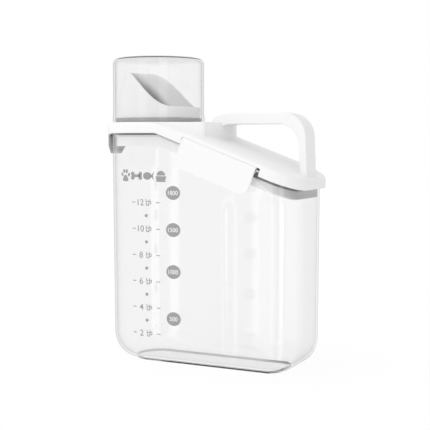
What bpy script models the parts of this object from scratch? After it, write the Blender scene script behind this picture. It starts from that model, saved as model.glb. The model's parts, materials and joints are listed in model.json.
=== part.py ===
"""Pet food bin: a clear tub with a sloping white lid, a pouring spout under a measuring cup,
a carry handle and three latches. Metres, +Z up. The spout end is at -X, the handle end at +X.
The origin is on the floor, midway between the lid's two ends."""
import math

import bmesh
import bpy
from mathutils import Matrix, Vector

# Lid outline, seen from above: half round at the spout end, rounded corners at the handle end
LID_HALF_LENGTH = 0.104
LID_HALF_WIDTH = 0.049
LID_CORNER = 0.027
CUP_X = LID_HALF_WIDTH - LID_HALF_LENGTH
ARC_STEPS = 24
CORNER_STEPS = 7

# The lid's lower edge runs level, then slopes down to the handle end
RIM_Z = 0.215
BEND_X = -0.0325
SLOPE = math.radians(20.25)

GAP = 0.0003
SKIRT_HEIGHT = 0.0095
SKIRT_WALL = 0.002
DECK_RISE = 0.0099
SLOPE_EXTRA = 0.0012
KNEE_X = 0.004
UNDER_LID_Z = 0.150

# Tub
TUB_INSET = 0.005
TUB_WALL = 0.002
TUB_DRAFT = math.tan(math.radians(0.33))
TUB_ABOVE_RIM = 0.0055
FOOT_INSET = 0.0205
FOOT_HEIGHT = 0.002
FOOT_RIM = 0.0025
FOOT_RECESS = 0.0016
FLOOR_Z = 0.004
FLOOR_MARGIN = 0.0015
ABOVE_TUB = 0.012
CORNER_HEIGHT = 0.027
FLUTE_X = 0.046
FLUTE_RADIUS = 0.018
FLUTE_DEPTH = 0.004
FLUTE_TOP = 0.157

# Neck, spout and cup share one upright axis at CUP_X
NECK_RADIUS = 0.0464
NECK_TOP = 0.2253
NECK_EDGE = 0.0008
HOLE_RADIUS = 0.0372
SPOUT_TUBE_RADIUS = 0.0369
SPOUT_RADIUS = 0.0395
SPOUT_WALL = 0.0018
SPOUT_BOTTOM = 0.213
SPOUT_RING_TOP = 0.2395
SPOUT_TIP_Z = 0.2735
SPOUT_TIP_RADIUS = 0.0325
SPOUT_CUT_REACH = 0.026
SPOUT_CUT_SHIFT = 0.0035
SPOUT_STEP = 0.0022
CUP_RADIUS = 0.0432
CUP_MOUTH_RADIUS = 0.0437
CUP_WALL = 0.0018
CUP_TOP = 0.2853
CUP_FILLET = 0.005
CUP_BEAD = (0.004, 0.009)
SEAL_HEIGHT = 0.0036
TURN_STEPS = 60

# Level shelf that the handle starts from
SHELF_TOP = RIM_Z + DECK_RISE
SHELF_RADIUS = 0.0735
SHELF_ARC_Y = 0.0315
SHELF_START_Y = 0.0445
SHELF_SIDE = (0.006, 0.0365)
SHELF_CORNER = (0.0125, 0.0350)
SHELF_STEPS = 6
SHELF_WALL = 0.0024

# Plug and gasket under the lid
PLUG_INSET = 0.0089
PLUG_WALL = 0.002
PLUG_DEPTH = 0.012
PLUG_TOP = 0.0073
PLUG_EDGE = 0.0006
GASKET_INSET = TUB_INSET + TUB_WALL + GAP
GASKET_THICK = 0.0013
GASKET_DEPTH = 0.0034
GASKET_END_DEPTH = 0.0105
GASKET_DEEPENS_X = (0.056, 0.082)
FLANGE_INSET = 0.0054
FLANGE_THICK = 0.001

# Handle
HANDLE_HALF_WIDTH = 0.012
HANDLE_TOP = 0.2333
HANDLE_UNDER = 0.2229
LEG_INNER_X = (0.0922, 0.0936)
LEG_OUTER_X = (0.0990, 0.1004)
HANDLE_START_X = 0.007
HANDLE_TURN = 0.0225
HANDLE_START_TURN = 0.020
HANDLE_ROOT_X = (0.0189, 0.0285)
HANDLE_ROOT_Z = 0.2195
HANDLE_INNER_TURN = 0.0195
HANDLE_START_EDGE = 0.0008
HANDLE_SOFT_EDGE = 0.0022
PEG_HALF_WIDTH = 0.007
PEG_DEPTHS = (0.0045, 0.0028)
PEG_OVERLAP = 0.003
PEG_SPANS = ((0.0095, 0.0155),
             (LEG_INNER_X[1] + 0.0019, LEG_OUTER_X[1] - 0.0022))

# Long side latches, measured along the slope from the bend and square to it
LATCH_START = 0.0290
LATCH_LENGTH = 0.0758
LATCH_OUTER = 0.0506
LATCH_THICK = 0.0022
LATCH_DROP = 0.0208
LATCH_CORNER = 0.009
BARREL_RADIUS = 0.003
BARREL_Y = LATCH_OUTER - BARREL_RADIUS
BARREL_N = 0.004
NOTCH_TOP_N = 0.0074
NOTCH_LOW_N = -0.004
NOTCH_OUT = 0.056
SLOT_BEFORE = 0.0006
SLOT_AFTER = 0.0035
EAR = 0.004
EAR_N = (0.0006, 0.0086)
BLIND_END = 0.0005
PIN_RADIUS = 0.001
BORE_RADIUS = PIN_RADIUS + GAP
LUG_OUT = 0.0466
LUG_N = (-0.0125, -0.0105)
LUG_HALF_LENGTH = 0.022
LUG_ROOT = 0.0011
HOOK_N = (-0.0155, -0.0130)
HOOK_HALF_LENGTH = 0.020

# End latch, on the half-round end
END_LATCH_RADIUS = 0.0496
END_LATCH_THICK = 0.0022
END_LATCH_HALF = 0.0155
END_LATCH_TOE = 0.0085
END_LATCH_BEVEL_Z = 0.2035
END_LATCH_BOTTOM = 0.1958
END_BARREL_RADIUS = 0.0018
END_BARREL_X = -0.1012
END_BARREL_Z = 0.2183
END_BARREL_HALF = 0.008
END_EAR = 0.0032
END_PIN_RADIUS = 0.0008
END_EAR_X = (-0.1024, -0.0994)
END_EAR_Z = (0.2160, 0.2225)
END_NOTCH_X = (-0.110, -0.0993)
END_NOTCH_Z = (0.210, 0.2219)
END_NOTCH_SIDE = 0.0005
END_LUG_OUT = -0.1006
END_LUG_ROOT = -0.0976
END_LUG_HALF = 0.008
END_LUG_Z = (0.2005, 0.2025)
END_HOOK_Z = (0.1975, 0.2000)
END_HOOK_HALF = 0.007
END_HOOK_ROOT = -0.1033
END_BRIDGE_OUT = -0.1035
END_BRIDGE_HALF = 0.0014
END_TONGUE_LOW = 0.213
END_LATCH_TOP = RIM_Z - 0.0006


# ---------------------------------------------------------------- materials

def material(name, color, roughness, alpha=1.0):
    mat = bpy.data.materials.new(name)
    mat.use_nodes = True
    shader = mat.node_tree.nodes["Principled BSDF"]
    shader.inputs["Base Color"].default_value = (*color, 1.0)
    shader.inputs["Roughness"].default_value = roughness
    shader.inputs["Metallic"].default_value = 0.0
    shader.inputs["Alpha"].default_value = alpha
    return mat


def clear_plastic():
    return material("clear_plastic", (0.90, 0.91, 0.92), 0.05, 0.3)


def white_plastic():
    return material("white_plastic", (0.90, 0.90, 0.90), 0.35)


def grey_silicone():
    return material("grey_silicone", (0.42, 0.43, 0.44), 0.6)


def steel():
    steel_pin = material("steel", (0.62, 0.62, 0.63), 0.3)
    steel_pin.node_tree.nodes["Principled BSDF"].inputs["Metallic"].default_value = 1.0
    return steel_pin


# ---------------------------------------------------------------- outlines

def rim_z(x):
    """Height of the lid's lower edge."""
    return RIM_Z - max(0.0, x - BEND_X) * math.tan(SLOPE)


def outline(inset):
    """The lid's outline moved inwards, counter-clockwise, always with the same number of points."""
    half = LID_HALF_WIDTH - inset
    corner = max(LID_CORNER - inset, 0.001)
    cx = LID_HALF_LENGTH - inset - corner
    cy = half - corner
    points = []
    for step in range(ARC_STEPS + 1):
        angle = math.pi * (0.5 + step / ARC_STEPS)
        points.append((CUP_X + half * math.cos(angle), half * math.sin(angle)))
    points += [(BEND_X, -half), (KNEE_X, -half)]
    for start, side in ((1.5, -1), (0.0, 1)):
        for step in range(CORNER_STEPS + 1):
            angle = math.pi * (start + 0.5 * step / CORNER_STEPS)
            points.append((cx + corner * math.cos(angle), side * cy + corner * math.sin(angle)))
    points += [(KNEE_X, half), (BEND_X, half)]
    return points


def rim_ring(inset, rise):
    """A ring at a set height over the lid's lower edge."""
    return [(x, y, rim_z(x) + rise) for x, y in outline(inset)]


def deck_extra(x):
    """The deck stands a little higher over the rim on the slope."""
    return SLOPE_EXTRA * min(max((x - BEND_X) / (KNEE_X - BEND_X), 0.0), 1.0)


def deck_ring(inset, rise):
    return [(x, y, rim_z(x) + rise + deck_extra(x)) for x, y in outline(inset)]


def level_ring(inset, z):
    return [(x, y, z) for x, y in outline(inset)]


def circle(radius, z, x=CUP_X, y=0.0, steps=TURN_STEPS):
    return [(x + radius * math.cos(2 * math.pi * i / steps),
             y + radius * math.sin(2 * math.pi * i / steps), z) for i in range(steps)]


# ---------------------------------------------------------------- mesh helpers

def finish(name, mesh_data, mat=None, matrix=None):
    """Turn a bmesh into a named object with outward faces."""
    bmesh.ops.recalc_face_normals(mesh_data, faces=mesh_data.faces)
    mesh = bpy.data.meshes.new(name)
    mesh_data.to_mesh(mesh)
    mesh_data.free()
    if matrix is not None:
        mesh.transform(matrix)
    mesh.shade_smooth()
    mesh.set_sharp_from_angle(angle=math.radians(35))
    obj = bpy.data.objects.new(name, mesh)
    bpy.context.scene.collection.objects.link(obj)
    if mat is not None:
        mesh.materials.append(mat)
    return obj


def close_end(bm, ring):
    """Cap a ring, as three flat faces where it follows the bend and the knee."""
    heights = [vert.co.z for vert in ring]
    near, far = ARC_STEPS + 1, len(ring) - 1
    if max(heights) - min(heights) < 1e-7 or far <= near:
        bm.faces.new(ring)
        return
    bm.faces.new(ring[:near + 1] + [ring[far]])
    bm.faces.new((ring[near], ring[near + 1], ring[far - 1], ring[far]))
    bm.faces.new(ring[near + 1:far])


def loft(name, rings, mat=None, closed=False, matrix=None):
    """Skin a list of rings; closed joins the last to the first, otherwise both ends are capped."""
    bm = bmesh.new()
    loops = [[bm.verts.new(point) for point in ring] for ring in rings]
    pairs = list(zip(loops, loops[1:]))
    if closed:
        pairs.append((loops[-1], loops[0]))
    else:
        close_end(bm, loops[0])
        close_end(bm, loops[-1])
    for low, high in pairs:
        for i in range(len(low)):
            j = (i + 1) % len(low)
            bm.faces.new((low[i], low[j], high[j], high[i]))
    return finish(name, bm, mat, matrix)


def turned(name, profile, mat=None, closed=True, x=CUP_X):
    """A turned piece from (radius, z) points."""
    return loft(name, [circle(radius, z, x) for radius, z in profile], mat, closed)


def box(name, low, high, mat=None, matrix=None):
    bm = bmesh.new()
    bmesh.ops.create_cube(bm, size=1.0)
    size = Vector(high) - Vector(low)
    centre = (Vector(high) + Vector(low)) / 2
    bmesh.ops.scale(bm, vec=size, verts=bm.verts)
    bmesh.ops.translate(bm, vec=centre, verts=bm.verts)
    return finish(name, bm, mat, matrix)


def rod(name, start, end, radius, mat=None, matrix=None, steps=24):
    """A round bar between two points."""
    start, end = Vector(start), Vector(end)
    along = end - start
    turn = along.to_track_quat("Z", "Y").to_matrix().to_4x4()
    bm = bmesh.new()
    place = Matrix.Translation((start + end) / 2) @ turn
    bmesh.ops.create_cone(bm, cap_ends=True, segments=steps, radius1=radius, radius2=radius,
                          depth=along.length, matrix=place)
    return finish(name, bm, mat, matrix)


def slab(name, points, y_low, y_high, mat=None, matrix=None):
    """A flat outline in X and Z, extruded along Y."""
    bm = bmesh.new()
    near = [bm.verts.new((x, y_low, z)) for x, z in points]
    far = [bm.verts.new((x, y_high, z)) for x, z in points]
    bm.faces.new(near)
    bm.faces.new(far)
    for i in range(len(points)):
        j = (i + 1) % len(points)
        bm.faces.new((near[i], near[j], far[j], far[i]))
    return finish(name, bm, mat, matrix)


def arc(cx, cz, radius, start, end, steps):
    """Points on a circle in X and Z, angles in degrees."""
    angles = [math.radians(start + (end - start) * i / steps) for i in range(steps + 1)]
    return [(cx + radius * math.cos(a), cz + radius * math.sin(a)) for a in angles]


def combine(target, tool, operation):
    """Join or cut with a hidden tool object."""
    tool.hide_render = True
    tool.display_type = "WIRE"
    step = target.modifiers.new(operation.lower(), "BOOLEAN")
    step.operation = operation
    step.object = tool
    step.solver = "EXACT"


def slope_frame():
    """Local X down the slope, Y unchanged, Z square to the slope, from the bend."""
    return Matrix.Translation((BEND_X, 0.0, RIM_Z)) @ Matrix.Rotation(SLOPE, 4, "Y")


def set_origin(obj, point):
    """Put the object's origin on its joint's axis without moving its mesh."""
    obj.data.transform(Matrix.Translation(-Vector(point)))
    obj.location = point


# ---------------------------------------------------------------- tub

def tub_ring(extra, z):
    return level_ring(TUB_INSET + extra + TUB_DRAFT * (RIM_Z - z), z)


def rounded_bottom(foot, floor_z, wall, steps=9):
    """Rings round the tub's lower edge, from the foot out to the wall."""
    rings = []
    for step in range(steps + 1):
        turn = math.radians(90) * step / steps
        extra = foot - (foot - wall) * math.sin(turn)
        z = CORNER_HEIGHT - (CORNER_HEIGHT - floor_z) * math.cos(turn)
        rings.append(tub_ring(extra, z))
    return rings


def flute_cutter(name, side, grow):
    """An upright round bar with a domed top, just outside the long wall."""
    wall_y = LID_HALF_WIDTH - TUB_INSET - TUB_DRAFT * (RIM_Z - FLUTE_TOP / 2)
    centre_y = side * (wall_y - FLUTE_DEPTH + FLUTE_RADIUS)
    half_width = math.sqrt(FLUTE_RADIUS ** 2 - (FLUTE_RADIUS - FLUTE_DEPTH) ** 2)
    dome_z = FLUTE_TOP - half_width
    radius = FLUTE_RADIUS + grow
    rings = [circle(radius, -0.02, FLUTE_X, centre_y, 48)]
    for step in range(9):
        turn = math.radians(80) * step / 8
        rings.append(circle(radius * math.cos(turn), dome_z + radius * math.sin(turn),
                            FLUTE_X, centre_y, 48))
    return loft(name, rings)


def make_tub():
    outside = [tub_ring(FOOT_INSET + FOOT_RIM, FOOT_RECESS), tub_ring(FOOT_INSET + FOOT_RIM, 0.0),
               tub_ring(FOOT_INSET, 0.0)]
    outside += rounded_bottom(FOOT_INSET, FOOT_HEIGHT, 0.0)
    outside.append(rim_ring(TUB_INSET, TUB_ABOVE_RIM))
    tub = loft("bin_body", outside, clear_plastic())
    inside = rounded_bottom(FOOT_INSET + FLOOR_MARGIN, FLOOR_Z, TUB_WALL)
    inside.append(rim_ring(TUB_INSET + TUB_WALL, ABOVE_TUB))
    hollow = loft("tub_hollow", inside)
    for side in (-1, 1):
        combine(tub, flute_cutter(f"flute_outer_{side}", side, 0.0), "DIFFERENCE")
        combine(hollow, flute_cutter(f"flute_inner_{side}", side, TUB_WALL), "DIFFERENCE")
    combine(tub, hollow, "DIFFERENCE")
    middle = LATCH_START + LATCH_LENGTH / 2
    root_y = LID_HALF_WIDTH - TUB_INSET - LUG_ROOT
    for side in (-1, 1):
        ys = sorted((side * root_y, side * LUG_OUT))
        lug = box(f"lug_{side}", (middle - LUG_HALF_LENGTH, ys[0], LUG_N[0]),
                  (middle + LUG_HALF_LENGTH, ys[1], LUG_N[1]), matrix=slope_frame())
        combine(tub, lug, "UNION")
    end_lug = box("end_lug", (END_LUG_OUT, -END_LUG_HALF, END_LUG_Z[0]),
                  (END_LUG_ROOT, END_LUG_HALF, END_LUG_Z[1]))
    combine(tub, end_lug, "UNION")
    return tub


# ---------------------------------------------------------------- lid

def lid_outside():
    side = [rim_ring(0.0003, 0.0), rim_ring(0.0, 0.0004)]
    top = [(0.0, 0.0066), (0.0004, 0.0079), (0.0013, 0.0089), (0.003, SKIRT_HEIGHT),
           (0.008, 0.0097), (0.014, 0.0098), (0.020, DECK_RISE)]
    return loft("lid_shell", side + [deck_ring(inset, rise) for inset, rise in top], white_plastic())


def lid_hollow():
    roof = [(SKIRT_WALL, 0.0064), (0.0026, 0.0071), (0.0046, 0.0071), (0.010, 0.0076), (0.020, 0.0078)]
    rings = [rim_ring(SKIRT_WALL, UNDER_LID_Z - RIM_Z)]
    return loft("lid_hollow", rings + [deck_ring(inset, rise) for inset, rise in roof])


def shelf_plan(inset):
    """The level shelf from above: narrower past the bend, ending in an arc about the cup's axis."""
    radius = SHELF_RADIUS - inset
    turn = math.asin(SHELF_ARC_Y / SHELF_RADIUS)
    start = Vector((BEND_X + inset, SHELF_START_Y - inset))
    side = Vector((SHELF_SIDE[0], SHELF_SIDE[1] - inset))
    corner = Vector((SHELF_CORNER[0] - inset, SHELF_CORNER[1] - inset))
    tip = Vector((CUP_X + radius * math.cos(turn), radius * math.sin(turn)))
    upper = [start]
    for step in range(SHELF_STEPS + 1):
        share = step / SHELF_STEPS
        upper.append(side.lerp(corner, share).lerp(corner.lerp(tip, share), share))
    for step in range(1, SHELF_STEPS + 1):
        angle = turn * (1 - step / SHELF_STEPS)
        upper.append(Vector((CUP_X + radius * math.cos(angle), radius * math.sin(angle))))
    lower = [Vector((x, -y)) for x, y in reversed(upper[:-1])]
    return upper + lower


def shelf_block(name, inset, low_z, high_z):
    plan = shelf_plan(inset)
    return loft(name, [[(x, y, z) for x, y in plan] for z in (low_z, high_z)])


def notch_and_ears(lid, side):
    """Cut room for a side latch, with a boss at each end that carries its pin."""
    start, stop = LATCH_START - SLOT_BEFORE, LATCH_START + LATCH_LENGTH + SLOT_AFTER
    inner = LID_HALF_WIDTH - TUB_INSET + GAP
    low_y, high_y = sorted((side * inner, side * NOTCH_OUT))
    notch = box(f"notch_{side}", (start, low_y, NOTCH_LOW_N), (stop, high_y, NOTCH_TOP_N),
                matrix=slope_frame())
    ear_low, ear_high = sorted((side * (inner + GAP), side * (LID_HALF_WIDTH - BLIND_END)))
    for number, at in enumerate((start - EAR, stop)):
        ear = box(f"ear_{side}_{number}", (at, ear_low, EAR_N[0]), (at + EAR, ear_high, EAR_N[1]),
                  matrix=slope_frame())
        combine(lid, ear, "UNION")
    combine(lid, notch, "DIFFERENCE")
    line_y = side * BARREL_Y
    bore = rod(f"ear_bore_{side}", (start - EAR + BLIND_END, line_y, BARREL_N),
               (stop + EAR - BLIND_END, line_y, BARREL_N), BORE_RADIUS, matrix=slope_frame())
    combine(lid, bore, "DIFFERENCE")


def end_notch_and_ears(lid):
    """Cut room for the end latch's barrel, with a boss on each side for its pin."""
    half = END_BARREL_HALF + END_NOTCH_SIDE
    for side in (-1, 1):
        low_y, high_y = sorted((side * (half - END_NOTCH_SIDE), side * (half + END_EAR)))
        ear = box(f"end_ear_{side}", (END_EAR_X[0], low_y, END_EAR_Z[0]),
                  (END_EAR_X[1], high_y, END_EAR_Z[1]))
        combine(lid, ear, "UNION")
    notch = box("end_notch", (END_NOTCH_X[0], -half, END_NOTCH_Z[0]),
                (END_NOTCH_X[1], half, END_NOTCH_Z[1]))
    combine(lid, notch, "DIFFERENCE")
    reach = half + END_EAR - BLIND_END
    bore = rod("end_ear_bore", (END_BARREL_X, -reach, END_BARREL_Z),
               (END_BARREL_X, reach, END_BARREL_Z), END_PIN_RADIUS + GAP)
    combine(lid, bore, "DIFFERENCE")


def make_lid():
    lid = lid_outside()
    neck = turned("neck", [(NECK_RADIUS, RIM_Z), (NECK_RADIUS, NECK_TOP - NECK_EDGE),
                           (NECK_RADIUS - NECK_EDGE, NECK_TOP)], closed=False)
    combine(lid, neck, "UNION")
    combine(lid, shelf_block("shelf", 0.0, rim_z(KNEE_X), SHELF_TOP), "UNION")
    combine(lid, lid_hollow(), "DIFFERENCE")
    under_shelf = shelf_block("under_shelf", SHELF_WALL, UNDER_LID_Z, SHELF_TOP - SHELF_WALL)
    combine(lid, under_shelf, "DIFFERENCE")
    hole = rod("spout_hole", (CUP_X, 0, UNDER_LID_Z), (CUP_X, 0, CUP_TOP), HOLE_RADIUS, steps=TURN_STEPS)
    combine(lid, hole, "DIFFERENCE")
    for side in (-1, 1):
        notch_and_ears(lid, side)
    end_notch_and_ears(lid)
    for number, (low_x, high_x) in enumerate(PEG_SPANS):
        room = box(f"peg_room_{number}", (low_x - GAP, -PEG_HALF_WIDTH - GAP, UNDER_LID_Z),
                   (high_x + GAP, PEG_HALF_WIDTH + GAP, HANDLE_UNDER + HANDLE_SOFT_EDGE))
        combine(lid, room, "DIFFERENCE")
    return lid


def make_plug():
    profile = [(PLUG_INSET, PLUG_TOP), (PLUG_INSET, -PLUG_DEPTH + PLUG_EDGE),
               (PLUG_INSET + PLUG_EDGE, -PLUG_DEPTH), (PLUG_INSET + PLUG_WALL, -PLUG_DEPTH),
               (PLUG_INSET + PLUG_WALL, PLUG_TOP)]
    return loft("lid_plug", [rim_ring(inset, rise) for inset, rise in profile], white_plastic(),
                closed=True)


def gasket_drop(x):
    """The lip is deeper at the handle end, where the end wall stands under the low rim."""
    start, stop = GASKET_DEEPENS_X
    t = min(max((x - start) / (stop - start), 0.0), 1.0)
    return GASKET_DEPTH + (GASKET_END_DEPTH - GASKET_DEPTH) * t * t * (3 - 2 * t)


def make_gasket():
    inner = GASKET_INSET + GASKET_THICK
    lip_outer = [(x, y, rim_z(x) - gasket_drop(x)) for x, y in outline(GASKET_INSET)]
    lip_inner = [(x, y, rim_z(x) - gasket_drop(x)) for x, y in outline(inner)]
    flange_low = TUB_ABOVE_RIM + GAP
    flange_high = flange_low + FLANGE_THICK
    rings = [lip_outer, rim_ring(GASKET_INSET, flange_low), rim_ring(FLANGE_INSET, flange_low),
             rim_ring(FLANGE_INSET, flange_high), rim_ring(inner, flange_high), lip_inner]
    return loft("lid_gasket", rings, grey_silicone(), closed=True)


# ---------------------------------------------------------------- spout and cup

def spout_cut_z(x):
    """Height of the spout's S-shaped mouth: high at the pouring side, low towards the handle."""
    along = x - CUP_X - SPOUT_CUT_SHIFT + SPOUT_CUT_REACH
    t = min(max(along / (2 * SPOUT_CUT_REACH), 0.0), 1.0)
    return SPOUT_TIP_Z - (SPOUT_TIP_Z - SPOUT_RING_TOP) * t * t * (3 - 2 * t)


def spout_radius(z):
    """The spout narrows from its ring to its tip."""
    t = min(max((z - SPOUT_RING_TOP) / (SPOUT_TIP_Z - SPOUT_RING_TOP), 0.0), 1.0)
    return SPOUT_RADIUS + (SPOUT_TIP_RADIUS - SPOUT_RADIUS) * t


def spout_mouth_ring(share, wall):
    """A ring part of the way from the spout's ring up to its mouth."""
    points = []
    for i in range(TURN_STEPS):
        angle = 2 * math.pi * i / TURN_STEPS
        x = CUP_X + SPOUT_RADIUS * math.cos(angle)
        for _ in range(4):
            z = SPOUT_RING_TOP + (spout_cut_z(x) - SPOUT_RING_TOP) * share
            radius = spout_radius(z) - wall
            x = CUP_X + radius * math.cos(angle)
        points.append((x, radius * math.sin(angle), z))
    return points


def make_spout():
    shoulder = NECK_TOP + GAP
    shares = (0.25, 0.5, 0.75, 1.0)
    rings = [circle(SPOUT_TUBE_RADIUS, SPOUT_BOTTOM), circle(SPOUT_TUBE_RADIUS, shoulder),
             circle(SPOUT_RADIUS, shoulder), circle(SPOUT_RADIUS, SPOUT_RING_TOP - SPOUT_WALL)]
    rings += [spout_mouth_ring(share, 0.0) for share in shares]
    rings += [spout_mouth_ring(share, SPOUT_WALL) for share in reversed(shares)]
    rings += [circle(SPOUT_RADIUS - SPOUT_WALL, SPOUT_RING_TOP - SPOUT_WALL),
              circle(SPOUT_RADIUS - SPOUT_WALL, shoulder + SPOUT_WALL),
              circle(SPOUT_TUBE_RADIUS - SPOUT_WALL, shoulder + SPOUT_WALL - SPOUT_STEP),
              circle(SPOUT_TUBE_RADIUS - SPOUT_WALL, SPOUT_BOTTOM)]
    return loft("spout", rings, white_plastic(), closed=True)


def make_cup_seal():
    base = NECK_TOP + GAP
    inner, outer = SPOUT_RADIUS + GAP, CUP_RADIUS - CUP_WALL - GAP
    profile = [(inner, base), (outer, base), (outer, base + SEAL_HEIGHT), (inner, base + SEAL_HEIGHT)]
    return turned("cup_seal", profile, grey_silicone())


def make_cup():
    mouth_z = NECK_TOP + GAP
    outside = [(CUP_MOUTH_RADIUS, mouth_z), (CUP_MOUTH_RADIUS, mouth_z + CUP_BEAD[0]),
               (CUP_RADIUS, mouth_z + CUP_BEAD[1])]
    inside = []
    steps = 6
    for step in range(steps + 1):
        turn = math.radians(90) * step / steps
        outside.append((CUP_RADIUS - CUP_FILLET * (1 - math.cos(turn)),
                        CUP_TOP - CUP_FILLET * (1 - math.sin(turn))))
        inner_fillet = CUP_FILLET - CUP_WALL
        inside.append((CUP_RADIUS - CUP_WALL - inner_fillet * (1 - math.cos(turn)),
                       CUP_TOP - CUP_WALL - inner_fillet * (1 - math.sin(turn))))
    inside.insert(0, (CUP_RADIUS - CUP_WALL, mouth_z))
    rings = [circle(radius, z) for radius, z in inside[::-1] + outside]
    cup = loft("measuring_cup", rings, clear_plastic())
    set_origin(cup, (CUP_X, 0.0, mouth_z))
    return cup


# ---------------------------------------------------------------- handle

def deck_z(x):
    """Just over the lid's deck, where the handle's leg stands."""
    return rim_z(x) + deck_extra(x) + DECK_RISE + GAP


def make_handle():
    foot_top = SHELF_TOP + GAP
    edge_z = foot_top + HANDLE_START_EDGE
    root_x, under_x = HANDLE_ROOT_X
    points = [(root_x, foot_top)]
    for step in range(7):
        turn = math.radians(90) * step / 6
        points.append((under_x - (under_x - root_x) * math.cos(turn),
                       HANDLE_ROOT_Z + (HANDLE_UNDER - HANDLE_ROOT_Z) * math.sin(turn)))
    points += arc(LEG_INNER_X[0] - HANDLE_INNER_TURN, HANDLE_UNDER - HANDLE_INNER_TURN,
                  HANDLE_INNER_TURN, 90, 0, 10)
    points += [(LEG_INNER_X[1], deck_z(LEG_INNER_X[1]))]
    points += [(LEG_OUTER_X[1], deck_z(LEG_OUTER_X[1]))]
    points += arc(LEG_OUTER_X[0] - HANDLE_TURN, HANDLE_TOP - HANDLE_TURN, HANDLE_TURN, 0, 90, 10)
    for step in range(7):
        turn = math.radians(90) * step / 6
        points.append((HANDLE_START_X + HANDLE_START_TURN * (1 - math.sin(turn)),
                       edge_z + (HANDLE_TOP - edge_z) * math.cos(turn)))
    points.append((HANDLE_START_X, foot_top))
    handle = slab("handle", points, -HANDLE_HALF_WIDTH, HANDLE_HALF_WIDTH, white_plastic())
    bevel = handle.modifiers.new("soft_edges", "BEVEL")
    bevel.width = HANDLE_SOFT_EDGE
    bevel.segments = 3
    bevel.limit_method = "ANGLE"
    bevel.angle_limit = math.radians(50)
    for number, (low_x, high_x) in enumerate(PEG_SPANS):
        seat = (foot_top, deck_z(high_x))[number]
        peg = box(f"peg_{number}", (low_x, -PEG_HALF_WIDTH, seat - PEG_DEPTHS[number]),
                  (high_x, PEG_HALF_WIDTH, seat + PEG_OVERLAP))
        combine(handle, peg, "UNION")
    return handle


# ---------------------------------------------------------------- latches

def make_side_latch(name, side):
    start, stop = LATCH_START, LATCH_START + LATCH_LENGTH
    corner = LATCH_CORNER
    points = [(stop, BARREL_N)]
    points += arc(stop - corner, -LATCH_DROP + corner, corner, 0, -90, 8)
    points += arc(start + corner, -LATCH_DROP + corner, corner, 270, 180, 8)
    points += [(start, BARREL_N)]
    low_y, high_y = sorted((side * (LATCH_OUTER - LATCH_THICK), side * LATCH_OUTER))
    latch = slab(name, points, low_y, high_y, white_plastic(), slope_frame())
    line_y = side * BARREL_Y
    barrel = rod(f"{name}_barrel", (start, line_y, BARREL_N), (stop, line_y, BARREL_N),
                 BARREL_RADIUS, matrix=slope_frame())
    combine(latch, barrel, "UNION")
    middle = (start + stop) / 2
    tip_y, root_y = side * (LUG_OUT + GAP), side * (LATCH_OUTER - LATCH_THICK / 2)
    hook = box(f"{name}_hook", (middle - HOOK_HALF_LENGTH, min(tip_y, root_y), HOOK_N[0]),
               (middle + HOOK_HALF_LENGTH, max(tip_y, root_y), HOOK_N[1]), matrix=slope_frame())
    combine(latch, hook, "UNION")
    bore = rod(f"{name}_bore", (start - SLOT_BEFORE, line_y, BARREL_N),
               (stop + SLOT_BEFORE, line_y, BARREL_N), BORE_RADIUS, matrix=slope_frame())
    combine(latch, bore, "DIFFERENCE")
    hinge = slope_frame() @ Vector((middle, line_y, BARREL_N))
    set_origin(latch, hinge)
    pin_start = start - SLOT_BEFORE - EAR + 2 * BLIND_END
    pin_stop = stop + SLOT_AFTER + EAR - 2 * BLIND_END
    rod(f"{name}_pin", (pin_start, line_y, BARREL_N), (pin_stop, line_y, BARREL_N), PIN_RADIUS,
        steel(), slope_frame())
    return latch


def end_plate_column(y, top_z, bottom_z):
    """One upright slice of the curved end plate, outside then inside."""
    column = []
    for radius, z in ((END_LATCH_RADIUS, top_z), (END_LATCH_RADIUS, bottom_z),
                      (END_LATCH_RADIUS - END_LATCH_THICK, bottom_z),
                      (END_LATCH_RADIUS - END_LATCH_THICK, top_z)):
        angle = y / END_LATCH_RADIUS
        column.append((CUP_X - radius * math.cos(angle), radius * math.sin(angle), z))
    return column


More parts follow.
